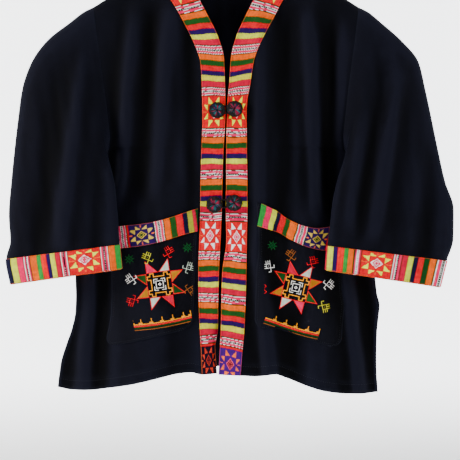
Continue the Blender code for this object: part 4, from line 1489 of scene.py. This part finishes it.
def tube(path: Array, radius: float, sides: int, ring: bool) -> Array:
    """Points of a round tube along a path that lies in an upright plane facing front.

    Each section is a circle across the path's running difference. An open tube's ends shrink to a point.

    Args:
        path: The path's points.
        radius: The tube's radius.
        sides: Points round each section.
        ring: Whether the path is closed.

    Returns:
        Rows of sections.
    """
    run = np.roll(path, -1, 0) - np.roll(path, 1, 0) if ring else np.gradient(path, axis=0)
    run /= np.linalg.norm(run, axis=1, keepdims=True)
    away = np.cross(run, [0.0, 1.0, 0.0])
    size = np.full(len(path), radius)
    if not ring:
        path = np.concatenate([path[:1], path, path[-1:]])
        away = np.concatenate([away[:1], away, away[-1:]])
        size = np.concatenate([[0.0], size, [0.0]])
    angle = np.linspace(0, 2 * math.pi, sides, endpoint=False)[None, :, None]
    rise = np.cos(angle) * away[:, None] + np.sin(angle) * np.array([0.0, 1.0, 0.0])
    return path[:, None] + rise * size[:, None, None]


@dataclass(frozen=True)
class Sewing:
    """A row of running stitches, each a small spindle lying along a line on the cloth."""

    step: float = 4.2
    length: float = 2.6
    width: float = 0.55

    def along(self, line: Array, outward: Array) -> Array:
        """Corners of every stitch: two ends, two sides, a top and a foot.

        Args:
            line: Points of the line.
            outward: The cloth's outward directions there.

        Returns:
            Stitches by six corners by three.
        """
        run = np.concatenate([[0], np.cumsum(np.linalg.norm(np.diff(line, axis=0), axis=1))])
        places = np.arange(self.step / 2, run[-1], self.step)
        pick = [np.stack([np.interp(at, run, part) for part in line.T], -1) for at in (places - 0.5, places + 0.5)]
        middle, way = (pick[0] + pick[1]) / 2, pick[1] - pick[0]
        way /= np.maximum(np.linalg.norm(way, axis=1, keepdims=True), 1e-9)
        up = np.stack([np.interp(places, run, part) for part in outward.T], -1)
        beside = np.cross(way, up)
        reach, half = way * self.length / 2, beside * self.width / 2
        high, foot = up * self.width * 0.6, -up * self.width * 0.5
        return np.stack([middle + part for part in (-reach, half, reach, -half, high, foot)], 1)


def sew(name: str, rows: list[Array]) -> bpy.types.Object:
    """Makes one piece of all the stitches of several rows: eight triangles to a stitch.

    Args:
        name: The piece's name.
        rows: Corners of the stitches of each row.

    Returns:
        The new object.
    """
    corners = np.concatenate(rows)
    count = len(corners)
    sides = np.array([(0, 1, 4), (1, 2, 4), (2, 3, 4), (3, 0, 4), (1, 0, 5), (2, 1, 5), (3, 2, 5), (0, 3, 5)])
    faces = (np.arange(count)[:, None, None] * 6 + sides).reshape(-1, 3)
    mesh = bpy.data.meshes.new(name)
    mesh.from_pydata((corners.reshape(-1, 3) * MM).tolist(), [], faces.tolist())
    flat = np.tile(np.array([(0, 0), (0.5, 0.3), (1, 0), (0.5, -0.3), (0.5, 0), (0.5, 0)]) * 0.003, (count, 1))
    mesh.uv_layers.new(name="cloth").data.foreach_set("uv", flat[faces.reshape(-1)].reshape(-1).astype(np.float32))
    mesh.shade_smooth()
    piece = bpy.data.objects.new(name, mesh)
    bpy.context.scene.collection.objects.link(piece)
    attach(piece, "root")
    LOG.info("%s: %d stitches", name, count)
    return piece


def on_cloth(points: Array, normals: Array, rise: float, where: int | tuple) -> Arrays:
    """The points that an index picks out of a grid, raised off the cloth, with its outward directions."""
    return points[where] + normals[where] * rise, normals[where]


def finish_ribbon(
    name: str,
    surface: Arrays,
    flat: Arrays,
    chart: Chart,
    seams: tuple[int | tuple, int | tuple],
    dresser: Dresser,
    closed: bool = False,
) -> None:
    """Makes a worked ribbon that stands for its solid, with a row of sewing near each long edge.

    Args:
        name: The ribbon's name in the model.
        surface: Points of its middle surface, and outward directions there.
        flat: Distances across and along it, for the map.
        chart: Its colours and stitching.
        seams: Which row or column of points each row of sewing follows.
        dresser: The finishes.
        closed: Whether the last column meets the first.
    """
    piece = piece_from_grid(f"{name}_cloth", surface[0], flat, chart, thickness=RIBBON, closed=closed)
    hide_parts(name)
    dresser.dress(piece, Look.RIBBON)
    seam = sew(f"{name}_sewing", [Sewing().along(*on_cloth(*surface, RIBBON / 2, where)) for where in seams])
    dresser.dress(seam, Look.SEWING)


@dataclass
class Panels:
    """The cotton body: two fronts and a back."""

    columns: int = 78
    rows: int = 170
    hem: float = 20.0
    front_cut: Triple = (0.29, 0.76, 0.18)
    back_cut: Triple = (0.58, 0.78, 0.365)

    def build(self, dresser: Dresser) -> None:
        """Builds and dresses the three panels with their hem sewing.

        Args:
            dresser: The finishes.
        """
        for half in (LEFT, RIGHT):
            across = np.concatenate([np.linspace(0, 0.965, self.columns), np.linspace(0.965, 1, 12)[1:]])
            points = half.front(*self.grid(across))
            name = f"front_{half.name}"
            self.finish(name, points, -half.sign, dresser)
        half = np.concatenate([np.linspace(0, 0.018, 10), np.linspace(0.018, 0.5, 62)[1:]])
        across = np.concatenate([half, 1 - half[:-1][::-1]])
        self.finish("back", back_panel(*self.grid(across)), -1, dresser)

    def grid(self, across: Array) -> Arrays:
        """Shares across and down, with the rows closer together where the cloth turns over the shoulder."""
        down = np.concatenate([np.linspace(0, 0.02, 9), np.linspace(0.02, 1, self.rows)[1:]])
        return tuple(np.meshgrid(across, down))

    def finish(self, name: str, points: Array, facing: int, dresser: Dresser) -> None:
        """Makes one panel from its points, a little thicker where the hem is turned up.

        Args:
            name: The panel's name in the model.
            points: Its middle surface.
            facing: 1 where the grid's own normals face outwards, else -1.
            dresser: The finishes.
        """
        normals = normals_of(points) * facing
        along, across = along_rows(points), across_columns(points)
        from_hem = along[-1] - along
        turned_up = ease((self.hem - from_hem) / 1.5)
        pucker = 0.25 * np.sin(across * 0.9) * np.exp(-(((from_hem - self.hem) / 3) ** 2))
        points = points + normals * (0.4 * turned_up + pucker)[..., None]
        wear = np.clip(np.exp(-from_hem / 3.0) + 0.5 * np.exp(-np.abs(from_hem - self.hem) / 2.5), 0, 1)
        # The ridge share drives the cotton's painted light and shade.
        ridge = stand_out(points, normals, 8)
        flat = across, along
        piece = piece_from_grid(f"{name}_cloth", points, flat, wear=wear + 0 * across, thickness=CLOTH, ridge=ridge)
        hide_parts(name)
        dresser.dress(piece, Look.COTTON)
        row = int(np.argmin(np.abs(from_hem - self.hem + 1.5)))
        line = on_cloth(points, normals, CLOTH / 2 + 0.1, row)
        seam = sew(f"{name}_hem_sewing", [Sewing().along(*line)])
        dresser.dress(seam, Look.SEWING)


@dataclass
class Sleeve:
    """One sleeve and the ribbon round its cuff."""

    half: Half
    rings: int = 104
    turns: int = 54
    ribbon_rows: int = 38
    ribbon_turns: int = 170
    cut: Triple = (0.42, 0.46, 0.165)
    ribbon_flat: Pair = (0.45, 0.046)

    def build(self, dresser: Dresser) -> None:
        """Builds and dresses the sleeve and its cuff.

        Args:
            dresser: The finishes.
        """
        ring = np.concatenate([np.linspace(0, 0.6, 14), np.linspace(0.6, 12, self.rings)[1:]])
        points, normals = self.grid(ring, self.turns)
        name = f"sleeve_{self.half.name}"
        along, across = along_rows(points), across_columns(points)
        wear = np.exp(-along / 4) + np.exp(-(along[-1] - along) / 4)
        # The ridge share drives the cotton's painted light and shade.
        ridge = stand_out(points, normals, 6, closed=True)
        shell = {"wear": wear, "thickness": CLOTH, "closed": True, "ridge": ridge}
        piece = piece_from_grid(f"{name}_cloth", points, (across, along), **shell)
        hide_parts(name)
        dresser.dress(piece, Look.COTTON)
        self.cuff(dresser)

    def grid(self, ring: Array, turns: int) -> Arrays:
        """Points and outward directions, with turns that mix even angles and even widths."""
        share = np.linspace(0, 1, turns, endpoint=False)
        turn = 0.65 * np.arccos(1 - 2 * share) + 0.35 * math.pi * share
        turn = np.concatenate([turn, 2 * math.pi - np.append(turn, math.pi)[1:][::-1]])
        points = self.half.sleeve(*np.meshgrid(ring, turn, indexing="ij"))
        return points, normals_of(points, closed=True) * self.half.sign

    def cuff(self, dresser: Dresser) -> None:
        """Builds the ribbon: its stripes are listed by the X of its middle line.

        Args:
            dresser: The finishes.
        """
        ring = np.linspace(11.0, 12.03, self.ribbon_rows)
        points, normals = self.grid(ring, self.ribbon_turns)
        across = (ring[:, None] - 11.5) * CUFF_WIDTH
        x = np.broadcast_to(points[self.ribbon_rows // 2, :, 0], points.shape[:2])
        chart = Chart(points.shape[:2])
        CUFF_BRAIDS[self.half.name].work(chart, x, across + 0 * x, CUFF_WIDTH / 2)
        ribbon_margins(chart, CUFF_WIDTH / 2 - np.abs(across) + 0 * x)
        points = points + normals * (CLOTH / 2 + LAYER_GAP + RIBBON / 2 + chart.height)[..., None]
        finish_ribbon(
            f"cuff_ribbon_{self.half.name}", (points, normals), (across_columns(points), along_rows(points)), chart,
            (1, self.ribbon_rows - 2), dresser, closed=True,
        )


def ribbon_margins(chart: Chart, from_edge: Array) -> None:
    """Paints a pale highlight on a ribbon's folded edges, and sinks the line where they are sewn down and paints shade
    along it.

    Args:
        chart: What is worked.
        from_edge: Distance in from the nearer long edge.
    """
    # Painted highlight: the folded edges are blended towards pale salmon.
    chart.blend(ease((1.1 - from_edge) / 0.5), Thread.SALMON, 0.45)
    sewn = np.exp(-(((from_edge - 3.2) / 0.6) ** 2))
    chart.height -= 0.3 * sewn
    # Painted shade: the sewn line is darkened.
    chart.shade(1 - 0.25 * sewn)


@dataclass
class FrontRibbon:
    """The ribbon down one front edge."""

    half: Half
    braid: Braid
    rows: int = 660
    columns: int = 33
    flat: Pair = (0.043, 0.74)

    def shares(self, down: Array) -> tuple[Array, Array, Array]:
        """The ribbon's width as a share of its panel's, its width, and the drop of its edge, by share down."""
        drop = EDGE_DROPS[0] + down * (EDGE_DROPS[-1] - EDGE_DROPS[0])
        edge, outer = Curve(EDGE_DROPS, self.half.edge)(drop), Curve(EDGE_DROPS, self.half.ribbon)(drop)
        side_drop = ARMHOLE_TOP[1] + down * (self.half.outer.at[-1] - ARMHOLE_TOP[1])
        share = (outer - edge) / (self.half.outer_edge(side_drop)[0] - edge)
        return share, np.abs(outer - edge), drop

    def build(self, dresser: Dresser) -> None:
        """Builds the ribbon: its stripes lie at drops that lean with the distance out from its middle.

        Args:
            dresser: The finishes.
        """
        out, down = np.meshgrid(np.linspace(0, 1, self.columns), np.linspace(0, 1, self.rows))
        share, width, _ = self.shares(down)
        points = self.half.front(out * share, down)
        normals = normals_of(points) * -self.half.sign
        drop = -points[..., 2]
        across = (out - 0.5) * width
        wobble = 0.5 * np.sin(drop / 23 + across / 9) + 0.35 * np.sin(drop / 9.7 + across / 6 + self.half.sign)
        along = drop + self.half.slip(drop) - self.half.lean(drop) * across + wobble
        chart = Chart(points.shape[:2])
        self.braid.work(chart, along, across * RIBBON_WIDTH / width, RIBBON_WIDTH / 2)
        from_edge = np.minimum(out, 1 - out) * width
        ribbon_margins(chart, from_edge)
        swell = 0.35 * np.sin(drop / 7.0 + 1.5 * np.sin(drop / 31)) * ease((6 - from_edge) / 5)
        lift = CLOTH / 2 + LAYER_GAP + RIBBON / 2 + chart.height + swell * 0.6
        points = points + normals * lift[..., None]
        finish_ribbon(
            f"front_ribbon_{self.half.name}", (points, normals), (out * width, along_rows(points)), chart,
            (np.s_[:, 2], np.s_[:, self.columns - 3]), dresser,
        )


@dataclass
class PatchPocket:
    """A pocket worked with its star, and the ribbon across its top."""

    half: Half
    ribbon: FrontRibbon
    rows: int = 100
    columns: int = 66
    stitches: tuple[int, int] = (366, 276)
    ribbon_rows: int = 36
    ribbon_columns: int = 170
    flat: Pair = (0.15, 0.228)
    ribbon_flat: Pair = (0.152, 0.044)

    def ends(self, down: Array) -> tuple[Array, Array, Array]:
        """Shares across of the pocket's two sides, and the panel's width, by share down."""
        share, width, _ = self.ribbon.shares(down)
        inner = np.maximum(self.half.pocket.inner, share + 0.018)
        return inner, np.maximum(self.half.pocket.outer, inner + 0.3), width / share

    def surface(self, share: Array, down: Array) -> tuple[Array, Array, Array, Array]:
        """The panel under the pocket, whose sides draw in round its low corners in quarter circles.

        Args:
            share: Shares across the pocket.
            down: Shares down the panel.

        Returns:
            Points, outward directions, distance in from the pocket's edge, and width.
        """
        place = self.half.pocket
        inner, outer, panel = self.ends(down)
        width, height = panel * (outer - inner), (place.bottom - down) * PANEL_LENGTH
        short = np.clip(place.corner - height, 0, place.corner)
        inset = (place.corner - np.sqrt(place.corner**2 - short**2)) / width
        points = self.half.front(inner + (outer - inner) * (inset + share * (1 - 2 * inset)), down)
        edge = np.minimum(np.minimum(share, 1 - share) * width, height)
        return points, normals_of(points) * -self.half.sign, edge, width

    def build(self, dresser: Dresser) -> None:
        """Builds and dresses the pocket, its needlework and its ribbon.

        Args:
            dresser: The finishes.
        """
        place = self.half.pocket
        down = np.linspace(place.top, place.bottom, self.rows)
        share, down = np.meshgrid(np.linspace(0, 1, self.columns), down)
        points, normals, edge, width = self.surface(share, down)
        # The ridge share drives the cotton's painted light and shade.
        ridge = stand_out(points, normals, 16)
        turned = 0.35 * ease((5.0 - edge) / 1.0) + 0.3
        points = points + normals * (CLOTH / 2 + LAYER_GAP + RIBBON / 2 + turned)[..., None]
        name = f"pocket_{self.half.name}"
        flat = share * width.mean(), along_rows(points)
        wear = ease((3.0 - edge) / 3.0)
        piece = piece_from_grid(f"{name}_cloth", points, flat, wear=wear, thickness=RIBBON, ridge=ridge)
        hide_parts(name)
        dresser.dress(piece, Look.POCKET_GROUND)
        lines = np.s_[:, 2], np.s_[:, self.columns - 3], np.s_[self.rows - 3, 3:-3]
        seam = sew(f"{name}_sewing", [Sewing().along(*on_cloth(points, normals, RIBBON / 2, line)) for line in lines])
        dresser.dress(seam, Look.SEWING)
        made = [seam, self.needlework(dresser)]
        self.trim(dresser)

    def needlework(self, dresser: Dresser) -> bpy.types.Object:
        """Builds the stitches: a fine skin that dips into the cloth wherever it isn't worked.

        Args:
            dresser: The finishes.

        Returns:
            The skin.
        """
        place = self.half.pocket
        low = np.linspace(place.ribbon_low, place.bottom - 0.001, self.stitches[0])
        share, down = np.meshgrid(np.linspace(0.012, 0.985, self.stitches[1]), low)
        points, normals, _, width = self.surface(share, down)
        chart = Chart(points.shape[:2])
        POCKET_WORK[self.half.name].work(chart, points[..., 0], -points[..., 2])
        worked = chart.stitched > 0
        rise = np.where(worked, chart.height * 0.6, -0.55)
        points = points + normals * (CLOTH / 2 + LAYER_GAP + RIBBON + 0.3 + rise)[..., None]
        flat = share * width.mean(), along_rows(points)
        piece = piece_from_grid(f"pocket_{self.half.name}_needlework", points, flat, chart, keep=worked)
        dresser.dress(piece, Look.POCKET)
        return piece

    def trim(self, dresser: Dresser) -> None:
        """Builds the ribbon across the pocket's top, whose stripes are listed by the X of its middle line.

        Args:
            dresser: The finishes.
        """
        place = self.half.pocket
        top, low = place.top - 0.002, place.ribbon_low
        down = np.linspace(top, low, self.ribbon_rows)
        share, down = np.meshgrid(np.linspace(0, 1, self.ribbon_columns), down)
        start = place.slant * (low - down) / (low - top) - 0.006
        share = start + share * (1.006 - start)
        inner, outer, panel = self.ends(down)
        points = self.half.front(inner + (outer - inner) * share, down)
        normals = normals_of(points) * -self.half.sign
        height = (low - top) * PANEL_LENGTH
        across = ((down - top) / (low - top) - 0.5) * height
        x = points[..., 0] + place.lean * across
        chart = Chart(points.shape[:2])
        POCKET_BRAIDS[self.half.name].work(chart, x + 0.3 * np.sin(across / 5), across, height / 2)
        ribbon_margins(chart, height / 2 - np.abs(across))
        lift = CLOTH / 2 + 2 * LAYER_GAP + 1.5 * RIBBON + 0.9 + chart.height
        points = points + normals * lift[..., None]
        flat = share * (panel * (outer - inner)).mean(), along_rows(points)
        finish_ribbon(
            f"pocket_ribbon_{self.half.name}", (points, normals), flat, chart, (2, self.ribbon_rows - 3),
            dresser,
        )


@dataclass
class NeckRibbon:
    """The ribbon behind the neck, which fans out at its ends to meet the front ribbons."""

    width_middle: float = 41.0
    width_end: float = 53.0
    band_middle: float = 480.0
    band_half: float = 112.0
    rows: int = 36
    columns: int = 210
    flat: Pair = (0.24, 0.046)

    def build(self, dresser: Dresser) -> None:
        """Builds the ribbon: each cross line turns from straight down to along the shoulder.

        Args:
            dresser: The finishes.
        """
        out, share = np.meshgrid(np.linspace(0, 1, self.rows), np.linspace(-1, 1, self.columns), indexing="ij")
        edge_drop = shoulder_drop(NECK_HALF) + BACK_NECK_DIP * (1 - share**2)
        turn = np.arctan2(NECK_HALF, 26) * np.sign(share) * np.abs(share) ** 1.5
        width = self.width_middle + (self.width_end - self.width_middle) * np.abs(share)
        x = NECK_HALF * share + out * width * np.sin(turn)
        drop = np.maximum(edge_drop + out * width * np.cos(turn), shoulder_drop(x))
        length = unrolled(np.maximum(drop - shoulder_drop(x), 0), SHOULDER_ROUND)
        points = np.stack([x, LEFT.depth(x, drop, length, BACK_FOLDS, 29), -drop], axis=-1)
        normals = normals_of(points)
        normals *= np.sign(normals[..., 1:2] + 1e-9)
        chart = Chart(points.shape[:2])
        along = self.band_middle + share * self.band_half
        band(PLUM_STAR).work(chart, along, (out - 0.5) * RIBBON_WIDTH, RIBBON_WIDTH / 2)
        ribbon_margins(chart, np.minimum(out, 1 - out) * width)
        lift = CLOTH / 2 + 2 * LAYER_GAP + RIBBON / 2 + 0.4 + chart.height
        points = points + normals * lift[..., None]
        points[..., 1] = np.maximum(points[..., 1], 0.6)
        flat = share * 120, out * width
        seams = 2, self.rows - 3
        finish_ribbon("neck_ribbon", (points, normals), flat, chart, seams, dresser)


class Silk(Enum):
    """The thread colours wrapped round the rosettes, in the order that their shares are given."""

    TEAL = linear(4, 134, 142)
    BLUE = linear(14, 22, 88)
    MAGENTA = linear(196, 0, 78)
    WINE = linear(92, 10, 34)
    BLACK = linear(4, 4, 7)


@dataclass(frozen=True)
class Rosette:
    """A gathered button of wrapped thread on a narrow stem."""

    name: str
    at: Pair
    half: Half
    seed: int
    radius: float = 14.6
    profile: int = 46
    around: int = 150
    wraps: int = 58
    shares: Row = (0.25, 0.17, 0.22, 0.08, 0.28)

    def foot(self) -> float:
        """Y of the ribbon's face under the stem."""
        ring = np.linspace(0, 2 * math.pi, 12, endpoint=False)
        place = self.half.front_at(self.at[0] + 5 * np.cos(ring), self.at[1] + 5 * np.sin(ring))
        return float(place[..., 1].min() - 2.3)

    def build(self, dresser: Dresser) -> None:
        """Builds the rosette: a turned outline, gathered into soft lobes and ribbed by its threads.

        Args:
            dresser: The finishes.
        """
        steps = tuple(range(11))
        radius = Curve(steps, (0, 2.6, 7.2, 11.2, 13.8, self.radius, 12.9, 9.5, 5, 5, 0))
        height = Curve(steps, (5.6, 8.2, 10.4, 9.9, 8.2, 6.0, 4.5, 3.9, 3.2, 0.2, 0))
        t, angle = np.meshgrid(
            np.linspace(0, 10, self.profile), np.linspace(0, 2 * math.pi, self.around, endpoint=False), indexing="ij"
        )
        draw = np.random.RandomState(self.seed)
        phases = draw.uniform(0, 2 * math.pi, 4)
        twist = angle + 0.16 * t / 5
        lobes = np.sin(9 * twist + phases[0]) + 0.7 * np.sin(14 * twist + phases[1])
        threads = np.sin(52 * twist + 0.8 * np.sin(5 * angle + phases[2]))
        shown = ease(t / 1.2) * ease((5.4 - t) / 0.6)
        r = radius(t) * (1 + 0.018 * lobes * ease(t / 3))
        h = height(t) + shown * (0.34 * lobes + 0.2 * threads)
        edges = np.sort(draw.uniform(0, 2 * math.pi, self.wraps))
        sector = np.searchsorted(edges, np.mod(twist, 2 * math.pi)) % self.wraps
        order = draw.choice(len(Silk), self.wraps, p=self.shares)
        reach = draw.uniform(6.5, 11.8, self.wraps)[sector]
        palette = np.array([silk.value for silk in Silk])
        chart = Chart(t.shape)
        chart.colour = palette[order[sector]]
        # Painted glints along the threads; the colour is also made darker towards the rim.
        painted_glint = 0.55 + 0.3 * threads + 0.25 * np.sin(31 * twist + phases[3])
        chart.shade(painted_glint * (1 - 0.45 * ease((r - 4) / 8)))
        rim = ease((r - reach) / 1.2) + (t > 5)
        core = ease((0.9 - t) / 0.6)
        chart.colour *= (1 - np.clip(rim + core, 0, 1) * 0.96)[..., None]
        x, z = self.at[0] + r * np.cos(angle), -self.at[1] + r * np.sin(angle)
        points = np.stack([x, self.foot() - h, z], axis=-1)
        flat = (angle * 10, t * 3)
        piece = piece_from_grid(f"{self.name}_silk", points, flat, chart, closed=True)
        close_up(piece)
        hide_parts(self.name)
        dresser.dress(piece, Look.ROSETTE)


@dataclass
class Fastening:
    """One pair of rosettes and the cord that loops round their stems."""

    level: str
    places: dict[str, Pair]
    seeds: tuple[int, int]
    stem: float = 5.0
    cord: float = 1.25
    off: float = 1.8

    def build(self, dresser: Dresser) -> None:
        """Builds both rosettes and the loop: two half circles about the stems, joined by straight runs.

        Args:
            dresser: The finishes.
        """
        feet = {}
        for half, seed in zip((LEFT, RIGHT), self.seeds):
            rosette = Rosette(f"rosette_{self.level}_{half.name}", self.places[half.name], half, seed)
            rosette.build(dresser)
            feet[half.name] = rosette.foot()
        reach = self.stem + self.cord + 0.3
        corners = []
        for side, first in (("right", -math.pi / 2), ("left", math.pi / 2)):
            angle = np.linspace(first, first + math.pi, 22)
            x, drop = self.places[side]
            arc = (x + reach * np.cos(angle), 0 * angle + feet[side] - self.off, -drop + reach * np.sin(angle))
            corners.append(np.stack(arc, -1))
        straight = np.linspace(0, 1, 14)[1:-1, None]
        path = []
        for here, after in (corners, corners[::-1]):
            path += [here, here[-1] + straight * (after[0] - here[-1])]
        points = tube(np.concatenate(path), self.cord, 12, ring=True)
        flat = (np.arange(12)[None] * 0.6, along_rows(points))
        piece = piece_from_grid(f"loop_{self.level}_cord", points, flat, closed=True, ring=True)
        close_up(piece)
        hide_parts(f"loop_{self.level}")
        dresser.dress(piece, Look.CORD)


@dataclass
class Hanger:
    """A plain wooden hanger bar and its wire hook."""

    thick: float = 9.0
    gap: float = 1.6
    wire: float = 1.8
    inner: float = 20.0
    shank: float = 60.0
    tall: Curve = Curve((0, 60, 140, 206), (30, 30, 24, 15))

    def build(self, dresser: Dresser) -> None:
        """Builds the bar and the hook.

        Args:
            dresser: The finishes.
        """
        self.bar(dresser)
        self.hook(dresser)

    def bar(self, dresser: Dresser) -> None:
        """An oval section carried along the shoulder line, shrinking to rounded ends.

        Args:
            dresser: The finishes.
        """
        reach = self.tall.at[-1]
        x = reach * np.sin(np.linspace(-math.pi / 2, math.pi / 2, 120))
        height = self.tall(np.abs(x))
        size = np.sqrt(1 - np.clip((np.abs(x) - reach + 3) / 3, 0, 1) ** 2)[:, None]
        angle = np.linspace(0, 2 * math.pi, 32, endpoint=False)
        middle = -(shoulder_drop(x) + 0.75 + self.gap + height / 2)
        y = size * self.thick / 2 * np.sin(angle)[None]
        z = middle[:, None] + size * height[:, None] / 2 * np.cos(angle)[None]
        points = np.stack([np.broadcast_to(x[:, None], y.shape), y, z], axis=-1)
        flat = (np.arange(32)[None] * 2.0, x[:, None])
        piece = piece_from_grid("hanger_bar_wood", points, flat, closed=True)
        close_up(piece)
        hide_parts("hanger_bar")
        dresser.dress(piece, Look.WOOD)

    def hook(self, dresser: Dresser) -> None:
        """A wire that rises from the bar in one smooth bend and turns round into the crook.

        Args:
            dresser: The finishes.
        """
        radius = self.inner + self.wire
        start = math.radians(-50)
        low = np.array([0.0, -self.shank])
        high = np.array([radius * math.cos(start), radius * math.sin(start) - self.inner])
        lead = np.array([-math.sin(start), math.cos(start)]) * 10
        t = np.linspace(0, 1, 30)[:-1, None]
        bend = (1 - t) ** 3 * low + 3 * t * (1 - t) ** 2 * (low + (0, 9))
        bend += 3 * t * t * (1 - t) * (high - lead) + t**3 * high
        foot = -(float(shoulder_drop(0)) + 0.75 + self.gap - 0.3)
        shank = np.stack([np.zeros(8), np.linspace(foot, -self.shank, 9)[:-1]], -1)
        arc = np.linspace(start, math.radians(195), 70)
        crook = np.stack([radius * np.cos(arc), radius * np.sin(arc) - self.inner], -1)
        line = np.concatenate([shank, bend, crook])
        path = np.stack([line[:, 0], np.zeros(len(line)), line[:, 1]], -1)
        points = tube(path, self.wire, 18, ring=False)
        flat = (np.arange(18)[None] * 0.6, along_rows(points))
        piece = piece_from_grid("hanger_hook_wire", points, flat, closed=True)
        close_up(piece)
        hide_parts("hanger_hook")
        dresser.dress(piece, Look.WIRE)


@dataclass
class Studio:
    """The camera, a pale backdrop that runs into the floor, and soft lights. Lengths here are in metres."""

    aim: Pair = (0.0072, -0.573)
    away: float = 2.3
    frame_width: float = 0.820
    front: float = -0.035
    wall: float = 0.42
    floor: float = -1.12

    def build(self) -> None:
        """Builds the whole studio."""
        self.camera()
        self.backdrop()
        self.light("key", (-2.3, -0.9, 0.25), 0.8, 66, (1.0, 0.98, 0.95))
        self.light("fill", (2.1, -1.4, 0.2), 1.1, 34, (0.95, 0.97, 1.0))
        self.light("top", (0.2, -0.5, 1.4), 1.2, 14, (1.0, 1.0, 1.0))
        self.light("behind", (0.0, 2.2, 0.6), 1.4, 18, (1.0, 1.0, 1.0))
        world = bpy.data.worlds.new("studio_air")
        world.use_nodes = True
        air, make = world.node_tree.nodes["Background"], Nodes(world.node_tree)
        air.inputs[0].default_value = (0.96, 0.97, 1.0, 1)
        seen = make.add("ShaderNodeLightPath").outputs["Is Camera Ray"]
        make.tree.links.new(make.math("MULTIPLY_ADD", seen, 2.6, 0.16), air.inputs[1])
        bpy.context.scene.world = world

    def camera(self) -> None:
        """Sets up the camera square on to the jacket's front, at the photograph's framing."""
        lens = bpy.data.cameras.new("view")
        lens.sensor_fit = "HORIZONTAL"
        lens.angle_x = 2 * math.atan(self.frame_width / 2 / self.away)
        eye = bpy.data.objects.new("view", lens)
        eye.location = (self.aim[0], self.front - self.away, self.aim[1])
        eye.rotation_euler = (math.pi / 2, 0, 0)
        bpy.context.scene.collection.objects.link(eye)
        bpy.context.scene.camera = eye

    def light(self, name: str, place: Triple, size: float, power: float, tint: tuple) -> None:
        """Adds one square soft light that faces the jacket's middle.

        Args:
            name: The light's name.
            place: Where it hangs.
            size: Its side.
            power: Its power in watts.
            tint: Its colour.
        """
        lamp = bpy.data.lights.new(name, "AREA")
        lamp.size, lamp.energy, lamp.color = size, power, tint
        made = bpy.data.objects.new(name, lamp)
        made.location = place
        made.rotation_euler = (Vector((0, 0, -0.5)) - Vector(place)).to_track_quat("-Z", "Y").to_euler()
        bpy.context.scene.collection.objects.link(made)

    def backdrop(self) -> None:
        """A sheet that comes forward along the floor, turns up a quarter circle and rises behind the jacket.

        It glows from the wall up, and is clear from behind, where it would hide the jacket's back.
        """
        bend, reach = 0.4, 3.0
        angle = np.linspace(0, math.pi / 2, 24)
        y = np.concatenate([[-reach], self.wall - bend + bend * np.sin(angle), [self.wall]])
        z = np.concatenate([[0], bend * (1 - np.cos(angle)), [2.9]]) + self.floor
        x = np.linspace(-reach, reach, 12)
        points = np.stack([*np.broadcast_arrays(x[None], y[:, None], z[:, None])], -1)
        rows, columns = points.shape[:2]
        index = np.arange(rows * columns).reshape(rows, columns)
        faces = np.stack([index[:-1, :-1], index[:-1, 1:], index[1:, 1:], index[1:, :-1]], -1).reshape(-1, 4)
        mesh = bpy.data.meshes.new("backdrop")
        mesh.from_pydata(points.reshape(-1, 3).tolist(), [], faces.tolist())
        mesh.shade_smooth()
        sheet = bpy.data.objects.new("backdrop", mesh)
        bpy.context.scene.collection.objects.link(sheet)
        made, make, shader = start_finish("pale_paper")
        place = make.place()
        tone = make.noise(place, 3.0, 3.0)
        colour = make.mix(tone, (0.80, 0.80, 0.79, 1), (0.86, 0.86, 0.85, 1))
        height = make.add("ShaderNodeSeparateXYZ", {0: place}).outputs[2]
        rise = {0: height, 1: -1.1, 2: -0.85, 3: 0.15, 4: 3.4}
        glow = make.add("ShaderNodeMapRange", rise, interpolation_type="SMOOTHSTEP")
        make.feed(shader, {
            "Base Color": colour,
            "Roughness": 0.95,
            "Emission Color": (0.95, 0.97, 1.0, 1),
            "Emission Strength": glow.outputs[0],
        })
        away = make.add("ShaderNodeNewGeometry").outputs["Backfacing"]
        clear = make.add("ShaderNodeBsdfTransparent").outputs[0]
        one_way = make.add("ShaderNodeMixShader", {0: away, 1: shader.outputs[0], 2: clear})
        make.tree.links.new(one_way.outputs[0], make.tree.nodes["Material Output"].inputs[0])
        mesh.materials.append(made)


def main() -> None:
    """Builds the jacket piece by piece, then the studio."""
    logging.basicConfig(level=logging.INFO, format="%(name)s: %(message)s")
    dresser = Dresser()
    Panels().build(dresser)
    for half, last in ((LEFT, PLUM_STAR), (RIGHT, VIOLET_STAR)):
        Sleeve(half).build(dresser)
        ribbon = FrontRibbon(half, band(last))
        ribbon.build(dresser)
        PatchPocket(half, ribbon).build(dresser)
    NeckRibbon().build(dresser)
    Fastening("upper", {"left": (-15.8, 359.7), "right": (15.4, 357.5)}, (5, 8)).build(dresser)
    Fastening("lower", {"left": (-20.6, 527.6), "right": (14.6, 524.8)}, (12, 21)).build(dresser)
    Hanger().build(dresser)
    Studio().build()


if __name__ == "__main__":
    main()
